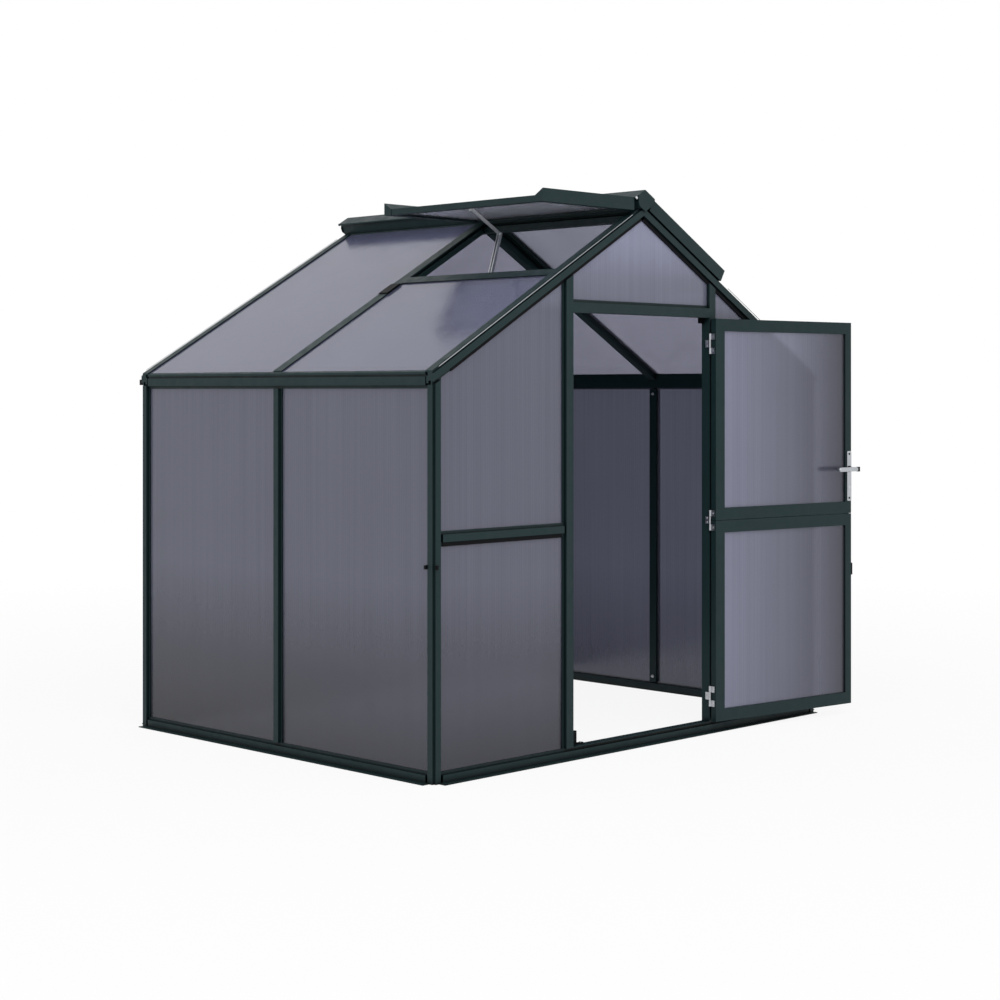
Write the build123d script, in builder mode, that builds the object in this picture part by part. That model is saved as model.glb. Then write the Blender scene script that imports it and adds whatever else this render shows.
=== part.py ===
"""Walk-in garden greenhouse: aluminium glazing bars, twin-wall panels, a two-leaf door and two roof vents.

Frame: the origin is on the ground at the middle of the footprint. +X runs across the door front to the
right, the door front faces -Y and +Z is up. All lengths are millimetres.
"""
import math
import os

from build123d import *

# Overall size
width = 2013.0
depth = 1571.0
eaves_line = 1298.0
pitch = 30.0

# Glazing bars
bar = 40.0
post_width = 44.0
bar_depth = 36.0
outer_lip = 14.0
roof_lip = 4.0
step_depth = 10.0
step_width = 10.0
inner_setback = 5.0
bar_wall = 3.0
corner_notch = 8.0
mitre_gap = 0.4

# Panels and the grooves that hold them
panel_thickness = 10.0
face_clearance = 0.5
groove_depth = 12.0
edge_clearance = 2.0

# Base rails and their anchor feet
base_height = 36.0
foot_width = 28.0
foot_thickness = 3.0
foot_end_gap = 22.0
anchor_radius = 4.5
anchor_inset = 90.0

# Eaves beam
eaves_face = 28.0
eaves_drop = 57.0
drip_recess_depth = 5.0
drip_recess_height = 7.0
stop_lip = 8.0
spigot_size = 20.0
spigot_length = 26.0
spigot_bore_radius = 7.0

# Rails in the gables and the doorway
middle_rail_height = 770.0
opening_half = 363.0
lintel_bottom = 1498.0

# Ridge and vent hinge line
ridge_half = 26.0
ridge_body_drop = 54.0
ridge_overhang = 4.0
hinge_x = 46.0
hinge_lift = 44.0
bead_radius = 4.0
wing_thickness = 4.0
ridge_foot_half = 20.0
rafter_clearance = 1.0

# Roof vents
vent_length = 465.0
vent_rail_width = 36.0
vent_hinge_rail = 30.0
vent_hinge_depth = 44.0
vent_lower_rail = 28.0
vent_panel_level = 29.0
vent_gap = 2.0
vent_start = 6.0
hook_clearance = 0.05
hook_wall = 3.4
hook_from = 188.0
hook_to = 48.0
left_vent_open = 30.0
trimmer_overlap = 23.0

# Vent stays
stay_y = -412.0
stay_arm = 158.0
stay_width = 12.0
stay_thickness = 3.0
upper_thickness = 4.0
stay_gap = 1.0
spacer_share = 5.0
stay_pin_radius = 2.5
pin_fit = 0.05
pin_head_radius = 4.0
pin_head = 3.0
pivot_setback = 7.0
ear_chamfer = 4.0
lid_pivot_level = 43.0
frame_pivot_level = 65.0

# Door leaves
leaf_gap = 6.0
leaf_thickness = 24.0
leaf_bar = 44.0
free_stile = 32.0
leaf_split = 766.0
leaf_split_gap = 1.5
leaf_top_gap = 4.0
leaf_bottom_gap = 2.0
door_open = 172.5

# Door hinges
hinge_axis_front = 4.0
hinge_pin_radius = 2.0
knuckle_radius = 4.0
hinge_tab = 2.0
hinge_tab_width = 18.0
door_tab_height = 22.0
jamb_tab_height = 27.0
knuckle_gap = 1.0
hinge_heights = (130.0, 766.0, 1404.0)

# Handle and latch
spindle_height = 936.0
spindle_inset = 13.0
spindle_size = 8.0
spindle_fit = 0.2
handle_plate_width = 23.0
handle_plate_height = 190.0
handle_plate_rise = 68.0
handle_plate = 3.0
key_drop = 72.0
key_radius = 4.0
lever_neck_radius = 8.0
lever_neck = 38.0
lever_length = 95.0
lever_height = 16.0
lever_thickness = 9.0
lever_chamfer = 2.5
bolt_drop = 34.0
bolt_height = 16.0
bolt_thickness = 10.0
bolt_projection = 4.5
bolt_length = 15.0
bolt_fit = 0.4
strike_height = 80.0
strike_width = 20.0
strike_thickness = 1.0

# Sill, stops and catch
sill_thickness = 2.0
stop_leg = 41.0
stop_thickness = 12.0
stop_clearance = 2.0
upper_stop_height = 20.0
catch_height = 45.0
catch_width = 50.0
catch_thickness = 10.0
catch_level = 550.0
catch_reach = 36.0

# Derived levels
half_width = width / 2
half_depth = depth / 2
tilt = math.radians(pitch)
rise = math.tan(tilt)
groove = panel_thickness + 2 * face_clearance
panel_in = outer_lip + face_clearance
panel_edge = groove_depth - edge_clearance
lip_end = outer_lip + groove
roof_seat = roof_lip + groove
roof_panel_in = roof_lip + face_clearance
apex = eaves_line + half_width * rise
eaves_bottom = eaves_line - eaves_drop
post_outer = opening_half + post_width
rail_low = middle_rail_height - post_width / 2
rail_high = middle_rail_height + post_width / 2
lintel_top = lintel_bottom + post_width
hinge_z = apex - hinge_x * rise + hinge_lift / math.cos(tilt)
roof_run = half_width / math.cos(tilt)
vent_front = -half_depth
vent_rear = -vent_gap
leaf_half = opening_half - leaf_gap
leaf_front = -half_depth
leaf_back = leaf_front + leaf_thickness
leaf_bottom = base_height + sill_thickness + leaf_bottom_gap
leaf_top = lintel_bottom - leaf_top_gap
door_axis_x = opening_half - leaf_gap / 2
door_axis_y = leaf_front - hinge_axis_front
low_corner = (Align.MIN, Align.MIN)
mid_low = (Align.CENTER, Align.MIN)

# Directions of the left roof slope: up the slope, and down through the roof
up_slope = Vector(math.cos(tilt), 0, math.sin(tilt))
through_roof = Vector(math.sin(tilt), 0, -math.cos(tilt))

# Places along the left slope, measured up from the wall face
hinge_along = (half_width - hinge_x + hinge_lift * math.sin(tilt)) / math.cos(tilt)
trimmer_along = hinge_along - vent_length + trimmer_overlap - post_width / 2
roof_panel_start = (stop_lip + edge_clearance - roof_panel_in * math.sin(tilt)) / math.cos(tilt)
roof_panel_end = (half_width - ridge_half) / math.cos(tilt)

os.makedirs("parts", exist_ok=True)


def save(part, label):
    """Label a finished piece and write it under that name."""
    part.label = label
    export_step(part, f"parts/{label}.step")


def roof_height(x, inward=0.0):
    """Height of the left roof plane at x, moved down through the roof by inward."""
    return eaves_line + (x + half_width) * rise - inward / math.cos(tilt)


def slope_point(along, inward, y=0.0):
    """Point on the left slope, measured up from the wall face and down through the roof."""
    return Vector(-half_width, y, eaves_line) + up_slope * along + through_roof * inward


def roof_cut(inward):
    """Plane parallel to the left roof slope, facing out of the roof."""
    return Plane(origin=slope_point(0, inward), x_dir=up_slope, z_dir=through_roof * -1)


def wing_point(along, outward):
    """X and Z of a point by the right hinge bead, measured down the ridge wing and out of the roof."""
    x = hinge_x + along * math.cos(tilt) + outward * math.sin(tilt)
    z = hinge_z - along * math.sin(tilt) + outward * math.cos(tilt)
    return x, z


def vent_point(along, inward, open_angle):
    """X and Z of a point of the right vent, measured down the lid from the bead and in from its face."""
    lean = math.radians(open_angle - pitch)
    x = hinge_x + along * math.cos(lean) + inward * math.sin(lean)
    z = hinge_z + along * math.sin(lean) - inward * math.cos(lean)
    return x, z


def vent_plane(open_angle, y):
    """Section plane of the right vent: local X runs down the lid from the bead, local Y out of the lid."""
    lean = math.radians(open_angle - pitch)
    return Plane(origin=(hinge_x, y, hinge_z), x_dir=(math.cos(lean), 0, math.sin(lean)), z_dir=(0, -1, 0))


def opened(part):
    """Piece of the closed door, turned about the hinge line to where the door stands open."""
    return part.rotate(Axis((door_axis_x, door_axis_y, 0), (0, 0, 1)), door_open)


def corner_section(plane, side_lip=outer_lip):
    """Square bar with a groove in each of its two inner sides and a notch at its outer corner."""
    body = bar - inner_setback
    with BuildSketch(plane) as section:
        Rectangle(body, body, align=low_corner)
        Rectangle(bar, outer_lip, align=low_corner)
        Rectangle(side_lip, bar, align=low_corner)
        with Locations((bar - groove_depth, outer_lip)):
            Rectangle(groove_depth, groove, align=low_corner, mode=Mode.SUBTRACT)
        with Locations((side_lip, bar - groove_depth)):
            Rectangle(groove, groove_depth, align=low_corner, mode=Mode.SUBTRACT)
        with Locations((bar - step_width, 0)):
            Rectangle(step_width, step_depth, align=low_corner, mode=Mode.SUBTRACT)
        if side_lip > step_depth:
            with Locations((0, bar - step_width)):
                Rectangle(step_depth, step_width, align=low_corner, mode=Mode.SUBTRACT)
        Rectangle(corner_notch, corner_notch, align=low_corner, mode=Mode.SUBTRACT)
    return section.sketch


def post_section(plane, left_groove=True, right_groove=True, lip=outer_lip):
    """Glazing bar with its face on the local X axis, and a panel groove and a step on either side."""
    half = post_width / 2
    left = half - inner_setback if left_groove else half
    right = half - inner_setback if right_groove else half
    with BuildSketch(plane) as section:
        Rectangle(post_width, lip, align=mid_low)
        with Locations((-left, 0)):
            Rectangle(left + right, bar_depth, align=low_corner)
        for side, wanted in ((-1, left_groove), (1, right_groove)):
            if wanted:
                with Locations((side * (half - groove_depth / 2), lip)):
                    Rectangle(groove_depth, groove, align=mid_low, mode=Mode.SUBTRACT)
            if wanted and lip > step_depth:
                with Locations((side * (half - step_width / 2), 0)):
                    Rectangle(step_width, step_depth, align=mid_low, mode=Mode.SUBTRACT)
        with Locations((bar_wall - left, lip + groove + bar_wall)):
            core_depth = bar_depth - lip - groove - 2 * bar_wall
            Rectangle(left + right - 2 * bar_wall, core_depth, align=low_corner, mode=Mode.SUBTRACT)
    return section.sketch


def base_section(plane):
    """Base rail with the panel groove in its top; local X runs inwards and local Y is up."""
    with BuildSketch(plane) as section:
        Rectangle(bar_depth, base_height - inner_setback, align=low_corner)
        Rectangle(outer_lip, base_height, align=low_corner)
        with Locations((outer_lip, base_height - groove_depth)):
            Rectangle(groove, groove_depth, align=low_corner, mode=Mode.SUBTRACT)
        with Locations((0, base_height - step_width)):
            Rectangle(step_depth, step_width, align=low_corner, mode=Mode.SUBTRACT)
        with Locations((bar_wall, bar_wall)):
            core_height = base_height - groove_depth - 2 * bar_wall
            Rectangle(bar_depth - 2 * bar_wall, core_height, align=low_corner, mode=Mode.SUBTRACT)
    return section.sketch


def upright(x, y, facing, bottom, left_groove=True, right_groove=True):
    """Glazing post on the left half, with its cover flange at y and its top cut under the rafter."""
    plane = Plane(origin=(x, y, bottom), x_dir=(-facing, 0, 0), z_dir=(0, 0, 1))
    with BuildPart() as post:
        extrude(post_section(plane, left_groove, right_groove), amount=apex - bottom)
        split(bisect_by=roof_cut(bar), keep=Keep.BOTTOM)
    return post.part


def gable_rail(x_from, x_to, y, facing, level, low_groove=True, high_groove=True):
    """Horizontal glazing rail in a gable, with its cover flange at y."""
    plane = Plane(origin=(x_from, y, level), x_dir=(0, 0, facing), z_dir=(1, 0, 0))
    grooves = (low_groove, high_groove) if facing > 0 else (high_groove, low_groove)
    with BuildPart() as rail:
        extrude(post_section(plane, *grooves), amount=x_to - x_from)
    return rail.part


def gable_panel(outline, facing):
    """Panel in a gable from its outline in X and Z; facing is -1 at the door front."""
    with BuildPart() as panel:
        with BuildSketch(Plane.XZ.offset(-facing * (half_depth - panel_in))):
            with BuildLine():
                Polyline(*outline, close=True)
            make_face()
        extrude(amount=facing * panel_thickness)
    return panel.part


def roof_panel(along_from, along_to, y_from, y_to):
    """Panel lying in the left roof slope."""
    plane = Plane(origin=slope_point(along_from, roof_panel_in, y_from), x_dir=up_slope, z_dir=through_roof)
    with BuildPart() as panel:
        with BuildSketch(plane):
            Rectangle(along_to - along_from, y_to - y_from, align=(Align.MIN, Align.MAX))
        extrude(amount=panel_thickness)
    return panel.part


# Base rails
with BuildPart() as base_rail_front:
    front_plane = Plane(origin=(0, -half_depth, 0), x_dir=(0, 1, 0), z_dir=(1, 0, 0))
    extrude(base_section(front_plane), amount=half_width - bar, both=True)
    with BuildSketch(Plane.YZ):
        with Locations((-half_depth, 0)):
            Rectangle(foot_width, foot_thickness, align=(Align.MAX, Align.MIN))
    extrude(amount=half_width - foot_end_gap, both=True)
    anchor_y = half_depth + foot_width / 2
    with Locations((0, -anchor_y, foot_thickness)):
        with GridLocations(width - 2 * anchor_inset, 1, 2, 1):
            Hole(anchor_radius, depth=foot_thickness)
save(base_rail_front.part, "base_rail_front")

with BuildPart() as base_rail_rear:
    mirror(base_rail_front.part, about=Plane.XZ)
save(base_rail_rear.part, "base_rail_rear")

with BuildPart() as base_rails_side:
    left_plane = Plane(origin=(-half_width, 0, 0), x_dir=(1, 0, 0), z_dir=(0, -1, 0))
    extrude(base_section(left_plane), amount=half_depth - bar, both=True)
    with BuildSketch(Plane.XZ):
        with Locations((-half_width, 0)):
            Rectangle(foot_width, foot_thickness, align=(Align.MAX, Align.MIN))
    extrude(amount=half_depth - foot_end_gap, both=True)
    mirror(about=Plane.YZ)
save(base_rails_side.part, "base_rails_side")

# Corner posts
with BuildPart() as corner_posts_front:
    extrude(corner_section(Plane((-half_width, -half_depth, 0))), amount=apex)
    split(bisect_by=roof_cut(bar), keep=Keep.BOTTOM)
    mirror(about=Plane.YZ)
save(corner_posts_front.part, "corner_posts_front")

with BuildPart() as corner_posts_rear:
    mirror(corner_posts_front.part, about=Plane.XZ)
save(corner_posts_rear.part, "corner_posts_rear")

# Side posts, halfway along each wall
with BuildPart() as side_posts:
    side_plane = Plane(origin=(-half_width, 0, base_height), x_dir=(0, -1, 0), z_dir=(0, 0, 1))
    extrude(post_section(side_plane), amount=eaves_bottom - base_height)
    mirror(about=Plane.YZ)
save(side_posts.part, "side_posts")

# Eaves beams: a drip recess below the lip that stops the roof panels, and a groove for the wall panels
seat_level = roof_height(-half_width, roof_seat)
recess_bottom = eaves_bottom + step_width + eaves_face
recess_top = recess_bottom + drip_recess_height
with BuildPart() as eaves_beams:
    with BuildSketch(Plane.XZ):
        with BuildLine():
            Polyline(
                (-half_width + step_depth, eaves_bottom),
                (-half_width + step_depth, eaves_bottom + step_width),
                (-half_width, eaves_bottom + step_width),
                (-half_width, recess_bottom),
                (-half_width + drip_recess_depth, recess_bottom),
                (-half_width + drip_recess_depth, recess_top),
                (-half_width, recess_top),
                (-half_width, roof_height(-half_width, roof_lip)),
                (-half_width + stop_lip, roof_height(-half_width + stop_lip, roof_lip)),
                (-half_width + stop_lip, seat_level + stop_lip * rise),
                (-half_width + bar, seat_level + bar * rise),
                (-half_width + bar, eaves_bottom + inner_setback),
                (-half_width + lip_end, eaves_bottom + inner_setback),
                (-half_width + lip_end, eaves_bottom + groove_depth),
                (-half_width + outer_lip, eaves_bottom + groove_depth),
                (-half_width + outer_lip, eaves_bottom),
                close=True,
            )
        make_face()
        core_low = eaves_bottom + groove_depth + bar_wall
        core_start = step_depth + bar_wall
        with Locations((-half_width + core_start, core_low)):
            core_width = bar - core_start - bar_wall
            Rectangle(core_width, seat_level - core_low, align=low_corner, mode=Mode.SUBTRACT)
    extrude(amount=half_depth - bar, both=True)
    mirror(about=Plane.YZ)
save(eaves_beams.part, "eaves_beams")

# Gutter spigots on the rear ends of the eaves beams, beside the corner posts
with BuildPart() as gutter_spigots:
    spigot_level = eaves_bottom + step_width + eaves_face / 2
    with BuildSketch(Plane.XZ.offset(-half_depth)):
        with Locations((-half_width + bar / 2, spigot_level)):
            Rectangle(spigot_size, spigot_size)
            Circle(spigot_bore_radius, mode=Mode.SUBTRACT)
    extrude(amount=-spigot_length)
    mirror(about=Plane.YZ)
save(gutter_spigots.part, "gutter_spigots")

# Gable rafters, cut plumb at the wall face and at the apex
with BuildPart() as gable_rafters_front:
    foot = slope_point(-bar, 0, -half_depth)
    rafter_plane = Plane(origin=foot, x_dir=through_roof, z_dir=up_slope)
    extrude(corner_section(rafter_plane, roof_lip), amount=roof_run + 2 * bar)
    split(bisect_by=Plane.YZ.offset(-half_width), keep=Keep.TOP)
    split(bisect_by=Plane.YZ.offset(-mitre_gap / 2), keep=Keep.BOTTOM)
    mirror(about=Plane.YZ)
save(gable_rafters_front.part, "gable_rafters_front")

with BuildPart() as gable_rafters_rear:
    mirror(gable_rafters_front.part, about=Plane.XZ)
save(gable_rafters_rear.part, "gable_rafters_rear")

# Middle rafters, notched over the eaves beams and cut plumb against the ridge
with BuildPart() as middle_rafters:
    middle_plane = Plane(origin=slope_point(-bar, 0), x_dir=(0, -1, 0), z_dir=up_slope)
    extrude(post_section(middle_plane, lip=roof_lip), amount=roof_run + bar)
    split(bisect_by=Plane.YZ.offset(-half_width + stop_lip), keep=Keep.TOP)
    split(bisect_by=Plane.YZ.offset(-ridge_half), keep=Keep.BOTTOM)
    with BuildSketch(Plane.XZ):
        with BuildLine():
            Polyline(
                (-half_width - bar, seat_level - bar * rise),
                (-half_width + bar, seat_level + bar * rise),
                (-half_width + bar, seat_level - bar),
                (-half_width - bar, seat_level - bar),
                close=True,
            )
        make_face()
    extrude(amount=post_width, both=True, mode=Mode.SUBTRACT)
    mirror(about=Plane.YZ)
save(middle_rafters.part, "middle_rafters")

# Ridge beam: a hollow peaked cap, closed at its ends, with a hinge bead along each edge, over a body that
# holds the roof panels
cap_top = apex + (hinge_lift + bead_radius) / math.cos(tilt)
cap_foot = apex - ridge_foot_half * rise + rafter_clearance
body_bottom = apex - ridge_body_drop
with BuildPart() as ridge_beam:
    with BuildSketch(Plane.XZ):
        with BuildLine():
            Polyline(
                (0, cap_top),
                wing_point(0, bead_radius),
                wing_point(0, 0),
                wing_point(-2 * bead_radius, 0),
                (ridge_foot_half, cap_foot),
                (0, apex + rafter_clearance),
                close=True,
            )
        make_face()
        with Locations((hinge_x, hinge_z)):
            Circle(bead_radius)
        mirror(about=Plane.YZ)
    extrude(amount=half_depth + ridge_overhang, both=True)
    with BuildSketch(Plane.XZ):
        with BuildLine():
            Polyline(
                (0, cap_top - wing_thickness / math.cos(tilt)),
                wing_point(-3 * bead_radius, 0),
                (ridge_foot_half - wing_thickness, cap_foot + 2 * wing_thickness),
                (0, apex + rafter_clearance + wing_thickness),
                close=True,
            )
        make_face()
        mirror(about=Plane.YZ)
    extrude(amount=half_depth + ridge_overhang - wing_thickness, both=True, mode=Mode.SUBTRACT)
    with BuildSketch(Plane.XZ):
        with BuildLine():
            Polyline(
                (0, apex + rafter_clearance),
                (ridge_foot_half, cap_foot),
                (ridge_half, apex - ridge_half * rise),
                (ridge_half, body_bottom),
                (0, body_bottom),
                close=True,
            )
        make_face()
        mirror(about=Plane.YZ)
    extrude(amount=half_depth - bar, both=True)
    slot_end = slope_point(roof_panel_end + edge_clearance, roof_lip)
    slot_plane = Plane(origin=slot_end, x_dir=up_slope, z_dir=(0, -1, 0))
    with BuildSketch(slot_plane):
        Rectangle(bar, groove, align=(Align.MAX, Align.MAX))
    slot = extrude(amount=half_depth - bar, both=True, mode=Mode.SUBTRACT)
    mirror(slot, about=Plane.YZ, mode=Mode.SUBTRACT)
save(ridge_beam.part, "ridge_beam")

# Trimmers that close the lower side of the vent openings
with BuildPart() as vent_trimmers:
    trimmer_plane = Plane(
        origin=slope_point(trimmer_along, 0, -half_depth + bar), x_dir=up_slope, z_dir=(0, 1, 0)
    )
    trimmer_run = half_depth - bar - post_width / 2
    extrude(post_section(trimmer_plane, right_groove=False, lip=roof_lip), amount=trimmer_run)
    mirror(about=Plane.YZ)
save(vent_trimmers.part, "vent_trimmers")

# Door posts: grooved on the bay side, and above the lintel on the door side too
door_post_x = opening_half + post_width / 2
bolt_level = spindle_height - bolt_drop
leaf_middle = leaf_front + leaf_thickness / 2


def door_post():
    """Left post of the doorway, without the pocket of the latch bolt."""
    with BuildPart() as post:
        add(upright(-door_post_x, -half_depth, -1, base_height, right_groove=False))
        with BuildSketch(Plane.XY.offset(lintel_top - groove_depth)):
            with Locations((-opening_half, -half_depth + outer_lip)):
                Rectangle(groove_depth, groove, align=(Align.MAX, Align.MIN))
        extrude(amount=apex, mode=Mode.SUBTRACT)
    return post.part


with BuildPart() as door_post_left:
    add(door_post())
    with Locations((-opening_half, leaf_middle, bolt_level)):
        Box(
            2 * bolt_projection,
            bolt_thickness + 2 * bolt_fit,
            bolt_height + 2 * bolt_fit,
            mode=Mode.SUBTRACT,
        )
save(door_post_left.part, "door_post_left")

save(door_post().mirror(Plane.YZ), "door_post_right")

with BuildPart() as rear_posts:
    add(upright(-door_post_x, half_depth, 1, base_height))
    mirror(about=Plane.YZ)
save(rear_posts.part, "rear_posts")

# Rails of the gables
with BuildPart() as door_lintel:
    lintel_level = lintel_bottom + post_width / 2
    add(gable_rail(-opening_half, opening_half, -half_depth, -1, lintel_level, low_groove=False))
save(door_lintel.part, "door_lintel")

with BuildPart() as front_mid_rails:
    add(gable_rail(-half_width + bar, -post_outer, -half_depth, -1, middle_rail_height))
    mirror(about=Plane.YZ)
save(front_mid_rails.part, "front_mid_rails")

with BuildPart() as rear_mid_rails:
    add(gable_rail(-half_width + bar, -post_outer, half_depth, 1, middle_rail_height))
    mirror(about=Plane.YZ)
    add(gable_rail(-opening_half, opening_half, half_depth, 1, middle_rail_height))
save(rear_mid_rails.part, "rear_mid_rails")

# Wall panels
panel_bottom = base_height - panel_edge
panel_side = half_width - bar + panel_edge
panel_post = post_outer - panel_edge
panel_door = opening_half + panel_edge
lower_top = rail_low + panel_edge
upper_bottom = rail_high - panel_edge
panel_roof = bar - panel_edge

with BuildPart() as side_panels_left:
    with BuildSketch(Plane.YZ.offset(-half_width + panel_in)):
        panel_rear = -post_width / 2 + panel_edge
        panel_front = -half_depth + bar - panel_edge
        panel_height = eaves_bottom + panel_edge - panel_bottom
        with Locations((panel_front, panel_bottom)):
            Rectangle(panel_rear - panel_front, panel_height, align=low_corner)
    extrude(amount=panel_thickness)
    mirror(about=Plane.XZ)
save(side_panels_left.part, "side_panels_left")

with BuildPart() as side_panels_right:
    mirror(side_panels_left.part, about=Plane.YZ)
save(side_panels_right.part, "side_panels_right")

lower_bay = [
    (-panel_side, panel_bottom),
    (-panel_post, panel_bottom),
    (-panel_post, lower_top),
    (-panel_side, lower_top),
]
upper_bay = [
    (-panel_side, upper_bottom),
    (-panel_post, upper_bottom),
    (-panel_post, roof_height(-panel_post, panel_roof)),
    (-panel_side, roof_height(-panel_side, panel_roof)),
]
lower_middle = [
    (-panel_door, panel_bottom),
    (panel_door, panel_bottom),
    (panel_door, lower_top),
    (-panel_door, lower_top),
]


def peaked_outline(bottom):
    """Outline of the middle gable panel from a bottom level up to the two slopes."""
    eaves = roof_height(-panel_door, panel_roof)
    return [
        (-panel_door, bottom),
        (panel_door, bottom),
        (panel_door, eaves),
        (0, roof_height(0, panel_roof)),
        (-panel_door, eaves),
    ]


with BuildPart() as front_panels:
    add(gable_panel(lower_bay, -1))
    add(gable_panel(upper_bay, -1))
    mirror(about=Plane.YZ)
    add(gable_panel(peaked_outline(lintel_top - panel_edge), -1))
save(front_panels.part, "front_panels")

with BuildPart() as rear_panels:
    add(gable_panel(lower_bay, 1))
    add(gable_panel(upper_bay, 1))
    mirror(about=Plane.YZ)
    add(gable_panel(lower_middle, 1))
    add(gable_panel(peaked_outline(upper_bottom), 1))
save(rear_panels.part, "rear_panels")

# Roof panels: a short one below the vent and a full one behind it
with BuildPart() as roof_panels_left:
    bay_outer = half_depth - bar + panel_edge
    bay_inner = post_width / 2 - panel_edge
    add(roof_panel(roof_panel_start, trimmer_along - post_width / 2 + panel_edge, -bay_outer, -bay_inner))
    add(roof_panel(roof_panel_start, roof_panel_end, bay_inner, bay_outer))
save(roof_panels_left.part, "roof_panels_left")

with BuildPart() as roof_panels_right:
    mirror(roof_panels_left.part, about=Plane.YZ)
save(roof_panels_right.part, "roof_panels_right")

# Door sill strip, hooked into the groove of the front base rail
with BuildPart() as door_sill_strip:
    with BuildSketch(Plane.YZ):
        with Locations((-half_depth, base_height)):
            Rectangle(bar_depth, sill_thickness, align=low_corner)
        with Locations((-half_depth + panel_in, panel_bottom)):
            Rectangle(panel_thickness, panel_edge, align=low_corner)
        with Locations((-half_depth + bar_depth - bar_wall, base_height - inner_setback)):
            Rectangle(bar_wall, inner_setback, align=low_corner)
    extrude(amount=opening_half, both=True)
save(door_sill_strip.part, "door_sill_strip")

# Door stops: an angle in the lower left corner and a block under the lintel on the hinge side
with BuildPart() as door_stops:
    sill_top = base_height + sill_thickness
    with BuildSketch(Plane.XZ.offset(-leaf_back - stop_clearance)):
        with Locations((-opening_half, sill_top)):
            Rectangle(stop_leg, stop_thickness, align=low_corner)
            Rectangle(stop_thickness, stop_leg, align=low_corner)
        with Locations((opening_half, lintel_bottom)):
            Rectangle(upper_stop_height, upper_stop_height, align=(Align.MAX, Align.MAX))
    extrude(amount=-stop_thickness)
save(door_stops.part, "door_stops")


def hinge_leaf(plate_x, bottom, height):
    """Hinge knuckle with its plate; plate_x is the lower X edge of the plate on the closed door."""
    with BuildPart() as plate:
        with BuildSketch(Plane.XY.offset(bottom)):
            with Locations((door_axis_x, door_axis_y)):
                Circle(knuckle_radius)
            with Locations((plate_x, door_axis_y)):
                Rectangle(hinge_tab, hinge_axis_front + hinge_tab_width, align=low_corner)
            with Locations((door_axis_x, door_axis_y)):
                Circle(hinge_pin_radius + pin_fit, mode=Mode.SUBTRACT)
        extrude(amount=height)
    return plate.part


# Door hinges: the fixed plates and pins, then the tabs on each leaf
tab_start = jamb_tab_height / 2 + knuckle_gap
hinge_reach = tab_start + door_tab_height
low_hinge, middle_hinge, high_hinge = hinge_heights
with BuildPart() as jamb_hinge_plates:
    for level in hinge_heights:
        add(hinge_leaf(opening_half - hinge_tab, level - jamb_tab_height / 2, jamb_tab_height))
save(jamb_hinge_plates.part, "jamb_hinge_plates")

with BuildPart() as hinge_pins:
    for level in hinge_heights:
        with Locations((door_axis_x, door_axis_y, level)):
            Cylinder(hinge_pin_radius, 2 * hinge_reach)
save(hinge_pins.part, "hinge_pins")

with BuildPart() as upper_leaf_hinge_tabs:
    for bottom in (middle_hinge + tab_start, high_hinge - hinge_reach, high_hinge + tab_start):
        add(hinge_leaf(leaf_half, bottom, door_tab_height))
save(opened(upper_leaf_hinge_tabs.part), "upper_leaf_hinge_tabs")

with BuildPart() as lower_leaf_hinge_tabs:
    for bottom in (low_hinge - hinge_reach, low_hinge + tab_start, middle_hinge - hinge_reach):
        add(hinge_leaf(leaf_half, bottom, door_tab_height))
save(opened(lower_leaf_hinge_tabs.part), "lower_leaf_hinge_tabs")

# Strike plate on the reveal of the left door post
with BuildPart() as strike_plate:
    with BuildSketch(Plane.YZ.offset(-opening_half)):
        with Locations((leaf_middle, bolt_level)):
            Rectangle(strike_width, strike_height)
            Rectangle(bolt_thickness + 2 * bolt_fit, bolt_height + 2 * bolt_fit, mode=Mode.SUBTRACT)
    extrude(amount=strike_thickness)
save(strike_plate.part, "strike_plate")


def leaf_section(plane, across=leaf_bar):
    """Door bar with a panel groove in its inner edge; local X runs from the outer edge inwards."""
    lip = (leaf_thickness - groove) / 2
    with BuildSketch(plane) as section:
        Rectangle(across, leaf_thickness, align=low_corner)
        with Locations((across - groove_depth, lip)):
            Rectangle(groove_depth, groove, align=low_corner, mode=Mode.SUBTRACT)
        with Locations((bar_wall, bar_wall)):
            core_width = across - groove_depth - 2 * bar_wall
            Rectangle(core_width, leaf_thickness - 2 * bar_wall, align=low_corner, mode=Mode.SUBTRACT)
    return section.sketch


def leaf_stiles(bottom, top):
    """Both upright bars of a closed door leaf."""
    hinge_plane = Plane(origin=(leaf_half, leaf_back, bottom), x_dir=(-1, 0, 0), z_dir=(0, 0, 1))
    free_plane = Plane(origin=(-leaf_half, leaf_front, bottom), x_dir=(1, 0, 0), z_dir=(0, 0, 1))
    with BuildPart() as stiles:
        extrude(leaf_section(hinge_plane), amount=top - bottom)
        extrude(leaf_section(free_plane, free_stile), amount=top - bottom)
    return stiles.part


def leaf_rails(bottom, top):
    """Both cross bars of a closed door leaf, between its stiles."""
    start = -leaf_half + free_stile
    run = leaf_half - leaf_bar - start
    low_plane = Plane(origin=(start, leaf_back, bottom), x_dir=(0, 0, 1), z_dir=(1, 0, 0))
    high_plane = Plane(origin=(start, leaf_front, top), x_dir=(0, 0, -1), z_dir=(1, 0, 0))
    with BuildPart() as rails:
        extrude(leaf_section(low_plane), amount=run)
        extrude(leaf_section(high_plane), amount=run)
    return rails.part


def leaf_panel(bottom, top):
    """Panel of a closed door leaf."""
    inset = leaf_bar - panel_edge
    start = -leaf_half + free_stile - panel_edge
    with BuildPart() as panel:
        with Locations((start, leaf_middle, bottom + inset)):
            size = (leaf_half - inset - start, panel_thickness, top - bottom - 2 * inset)
            Box(*size, align=(Align.MIN, Align.CENTER, Align.MIN))
    return panel.part


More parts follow.
